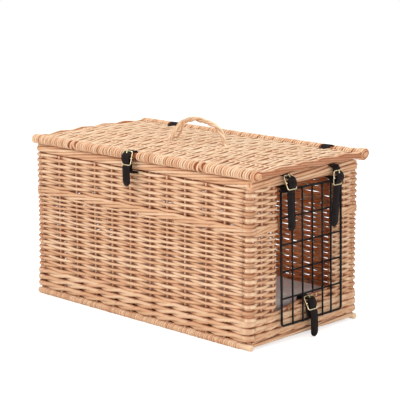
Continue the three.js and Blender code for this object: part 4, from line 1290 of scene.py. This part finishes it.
# Cushion: a boxed pad, puffed up by cloth simulation, with a seam pressed in round its side
def build_cushion():
    extra_height = 12 * MM
    swell_room = np.array([14, 14, 16]) * MM
    pull = 6 * MM
    crown = 5 * MM
    seam_share = 0.62
    seam_width = 3.2 * MM
    seam_depth = 2.4 * MM
    side_share = 0.86
    low, high, _ = box("cushion")
    high[2] += extra_height
    size = high - low
    middle = (high + low) / 2
    bpy.ops.mesh.primitive_cube_add(size=1, location=middle)
    pad = bpy.context.active_object
    pad.name = "cushion_pad"
    pad.scale = size - swell_room
    bpy.ops.object.transform_apply(location=True, rotation=True, scale=True)
    bpy.ops.object.mode_set(mode="EDIT")
    bpy.ops.mesh.select_all(action="SELECT")
    bpy.ops.mesh.subdivide(number_cuts=12)
    bpy.ops.object.mode_set(mode="OBJECT")
    for vertex in pad.data.vertices:
        share = (np.array(vertex.co) - middle) / (size / 2)
        vertex.co.x -= math.copysign(pull * (1 - share[1] ** 2), share[0]) * abs(share[0])
        vertex.co.y -= math.copysign(pull * (1 - share[0] ** 2), share[1]) * abs(share[1])
        if share[2] > 0:
            vertex.co.z += crown * (1 - share[0] ** 4) * (1 - share[1] ** 4)
    remesh = pad.modifiers.new("remesh", "REMESH")
    remesh.mode = "VOXEL"
    remesh.voxel_size = 6 * MM
    bpy.ops.object.modifier_apply(modifier="remesh")
    puffed(pad, low, high)
    places = np.array([vertex.co for vertex in pad.data.vertices])
    seam = low[2] + size[2] * seam_share
    outer = np.abs(places - middle) / (size / 2)
    edge = (outer[:, 0] > side_share) | (outer[:, 1] > side_share)
    depth = np.exp(-((places[:, 2] - seam) / seam_width) ** 2) * seam_depth * edge
    places[:, :2] -= unit(places[:, :2] - middle[:2]) * depth[:, None]
    pad.data.vertices.foreach_set("co", places.ravel())
    smooth = pad.modifiers.new("smooth", "SUBSURF")
    smooth.levels = 1
    smooth.render_levels = 1
    bpy.ops.object.modifier_apply(modifier="smooth")
    pad.data.shade_smooth()
    pad.data.materials.clear()
    pad.data.materials.append(cloth)
    pad.select_set(False)
    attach(pad, "basket")
    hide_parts("cushion")


# Floor, white surround and soft studio lights
def build_stage():
    bpy.ops.mesh.primitive_plane_add(size=7, location=(0, 0, 0))
    floor = bpy.context.active_object
    floor.name = "floor"
    floor.select_set(False)
    material = bpy.data.materials.new("floor")
    material.use_nodes = True
    tree = Tree(material.node_tree)
    diffuse = tree.node("BsdfDiffuse", {"Color": (0.9, 0.9, 0.9)}).outputs[0]
    glow = tree.node("Emission", {"Strength": 0.66}).outputs[0]
    both = tree.node("AddShader", {0: diffuse, 1: glow}).outputs[0]
    seen = tree.node("LightPath", {}).outputs["Is Camera Ray"]
    choose = tree.node("MixShader", {"Fac": seen, 1: diffuse, 2: both})
    tree.node("OutputMaterial", {"Surface": choose.outputs[0]})
    floor.data.materials.append(material)

    world = bpy.data.worlds.new("studio")
    bpy.context.scene.world = world
    world.use_nodes = True
    tree = Tree(world.node_tree)
    soft = tree.node("Background", {"Color": (1.0, 1.0, 1.0), "Strength": 0.42}).outputs[0]
    white = tree.node("Background", {"Color": (1.0, 1.0, 1.0), "Strength": 1.0}).outputs[0]
    path = tree.node("LightPath", {}).outputs
    seen = tree.math("MAXIMUM", path["Is Camera Ray"], path["Is Glossy Ray"])
    seen = tree.math("MAXIMUM", seen, path["Is Transmission Ray"])
    choose = tree.node("MixShader", {"Fac": seen, 1: soft, 2: white})
    tree.node("OutputWorld", {"Surface": choose.outputs[0]})

    basket_middle = np.array([0, 0, 0.15])
    for name, place, size, energy in (("key", (-0.8, -2.5, 2.2), 1.6, 42),
                                      ("side", (2.2, -1.4, 0.65), 1.0, 19),
                                      ("top", (0.2, 0.5, 2.9), 1.8, 38)):
        data = bpy.data.lights.new(name, "AREA")
        data.size = size
        data.energy = energy
        light = bpy.data.objects.new(name, data)
        light.location = place
        aim = basket_middle - place
        light.rotation_euler = (math.atan2(math.hypot(aim[0], aim[1]), -aim[2]), 0,
                                math.atan2(-aim[0], aim[1]))
        bpy.context.collection.objects.link(light)
    bpy.context.scene.view_settings.view_transform = "Standard"


add_camera()
build_walls()
build_borders()
build_rolls()
build_lid_panel()
build_lid_ends()
build_handle()
build_base()
build_lid_straps()
build_door_straps()
build_latch()
build_door()
build_cushion()
build_stage()
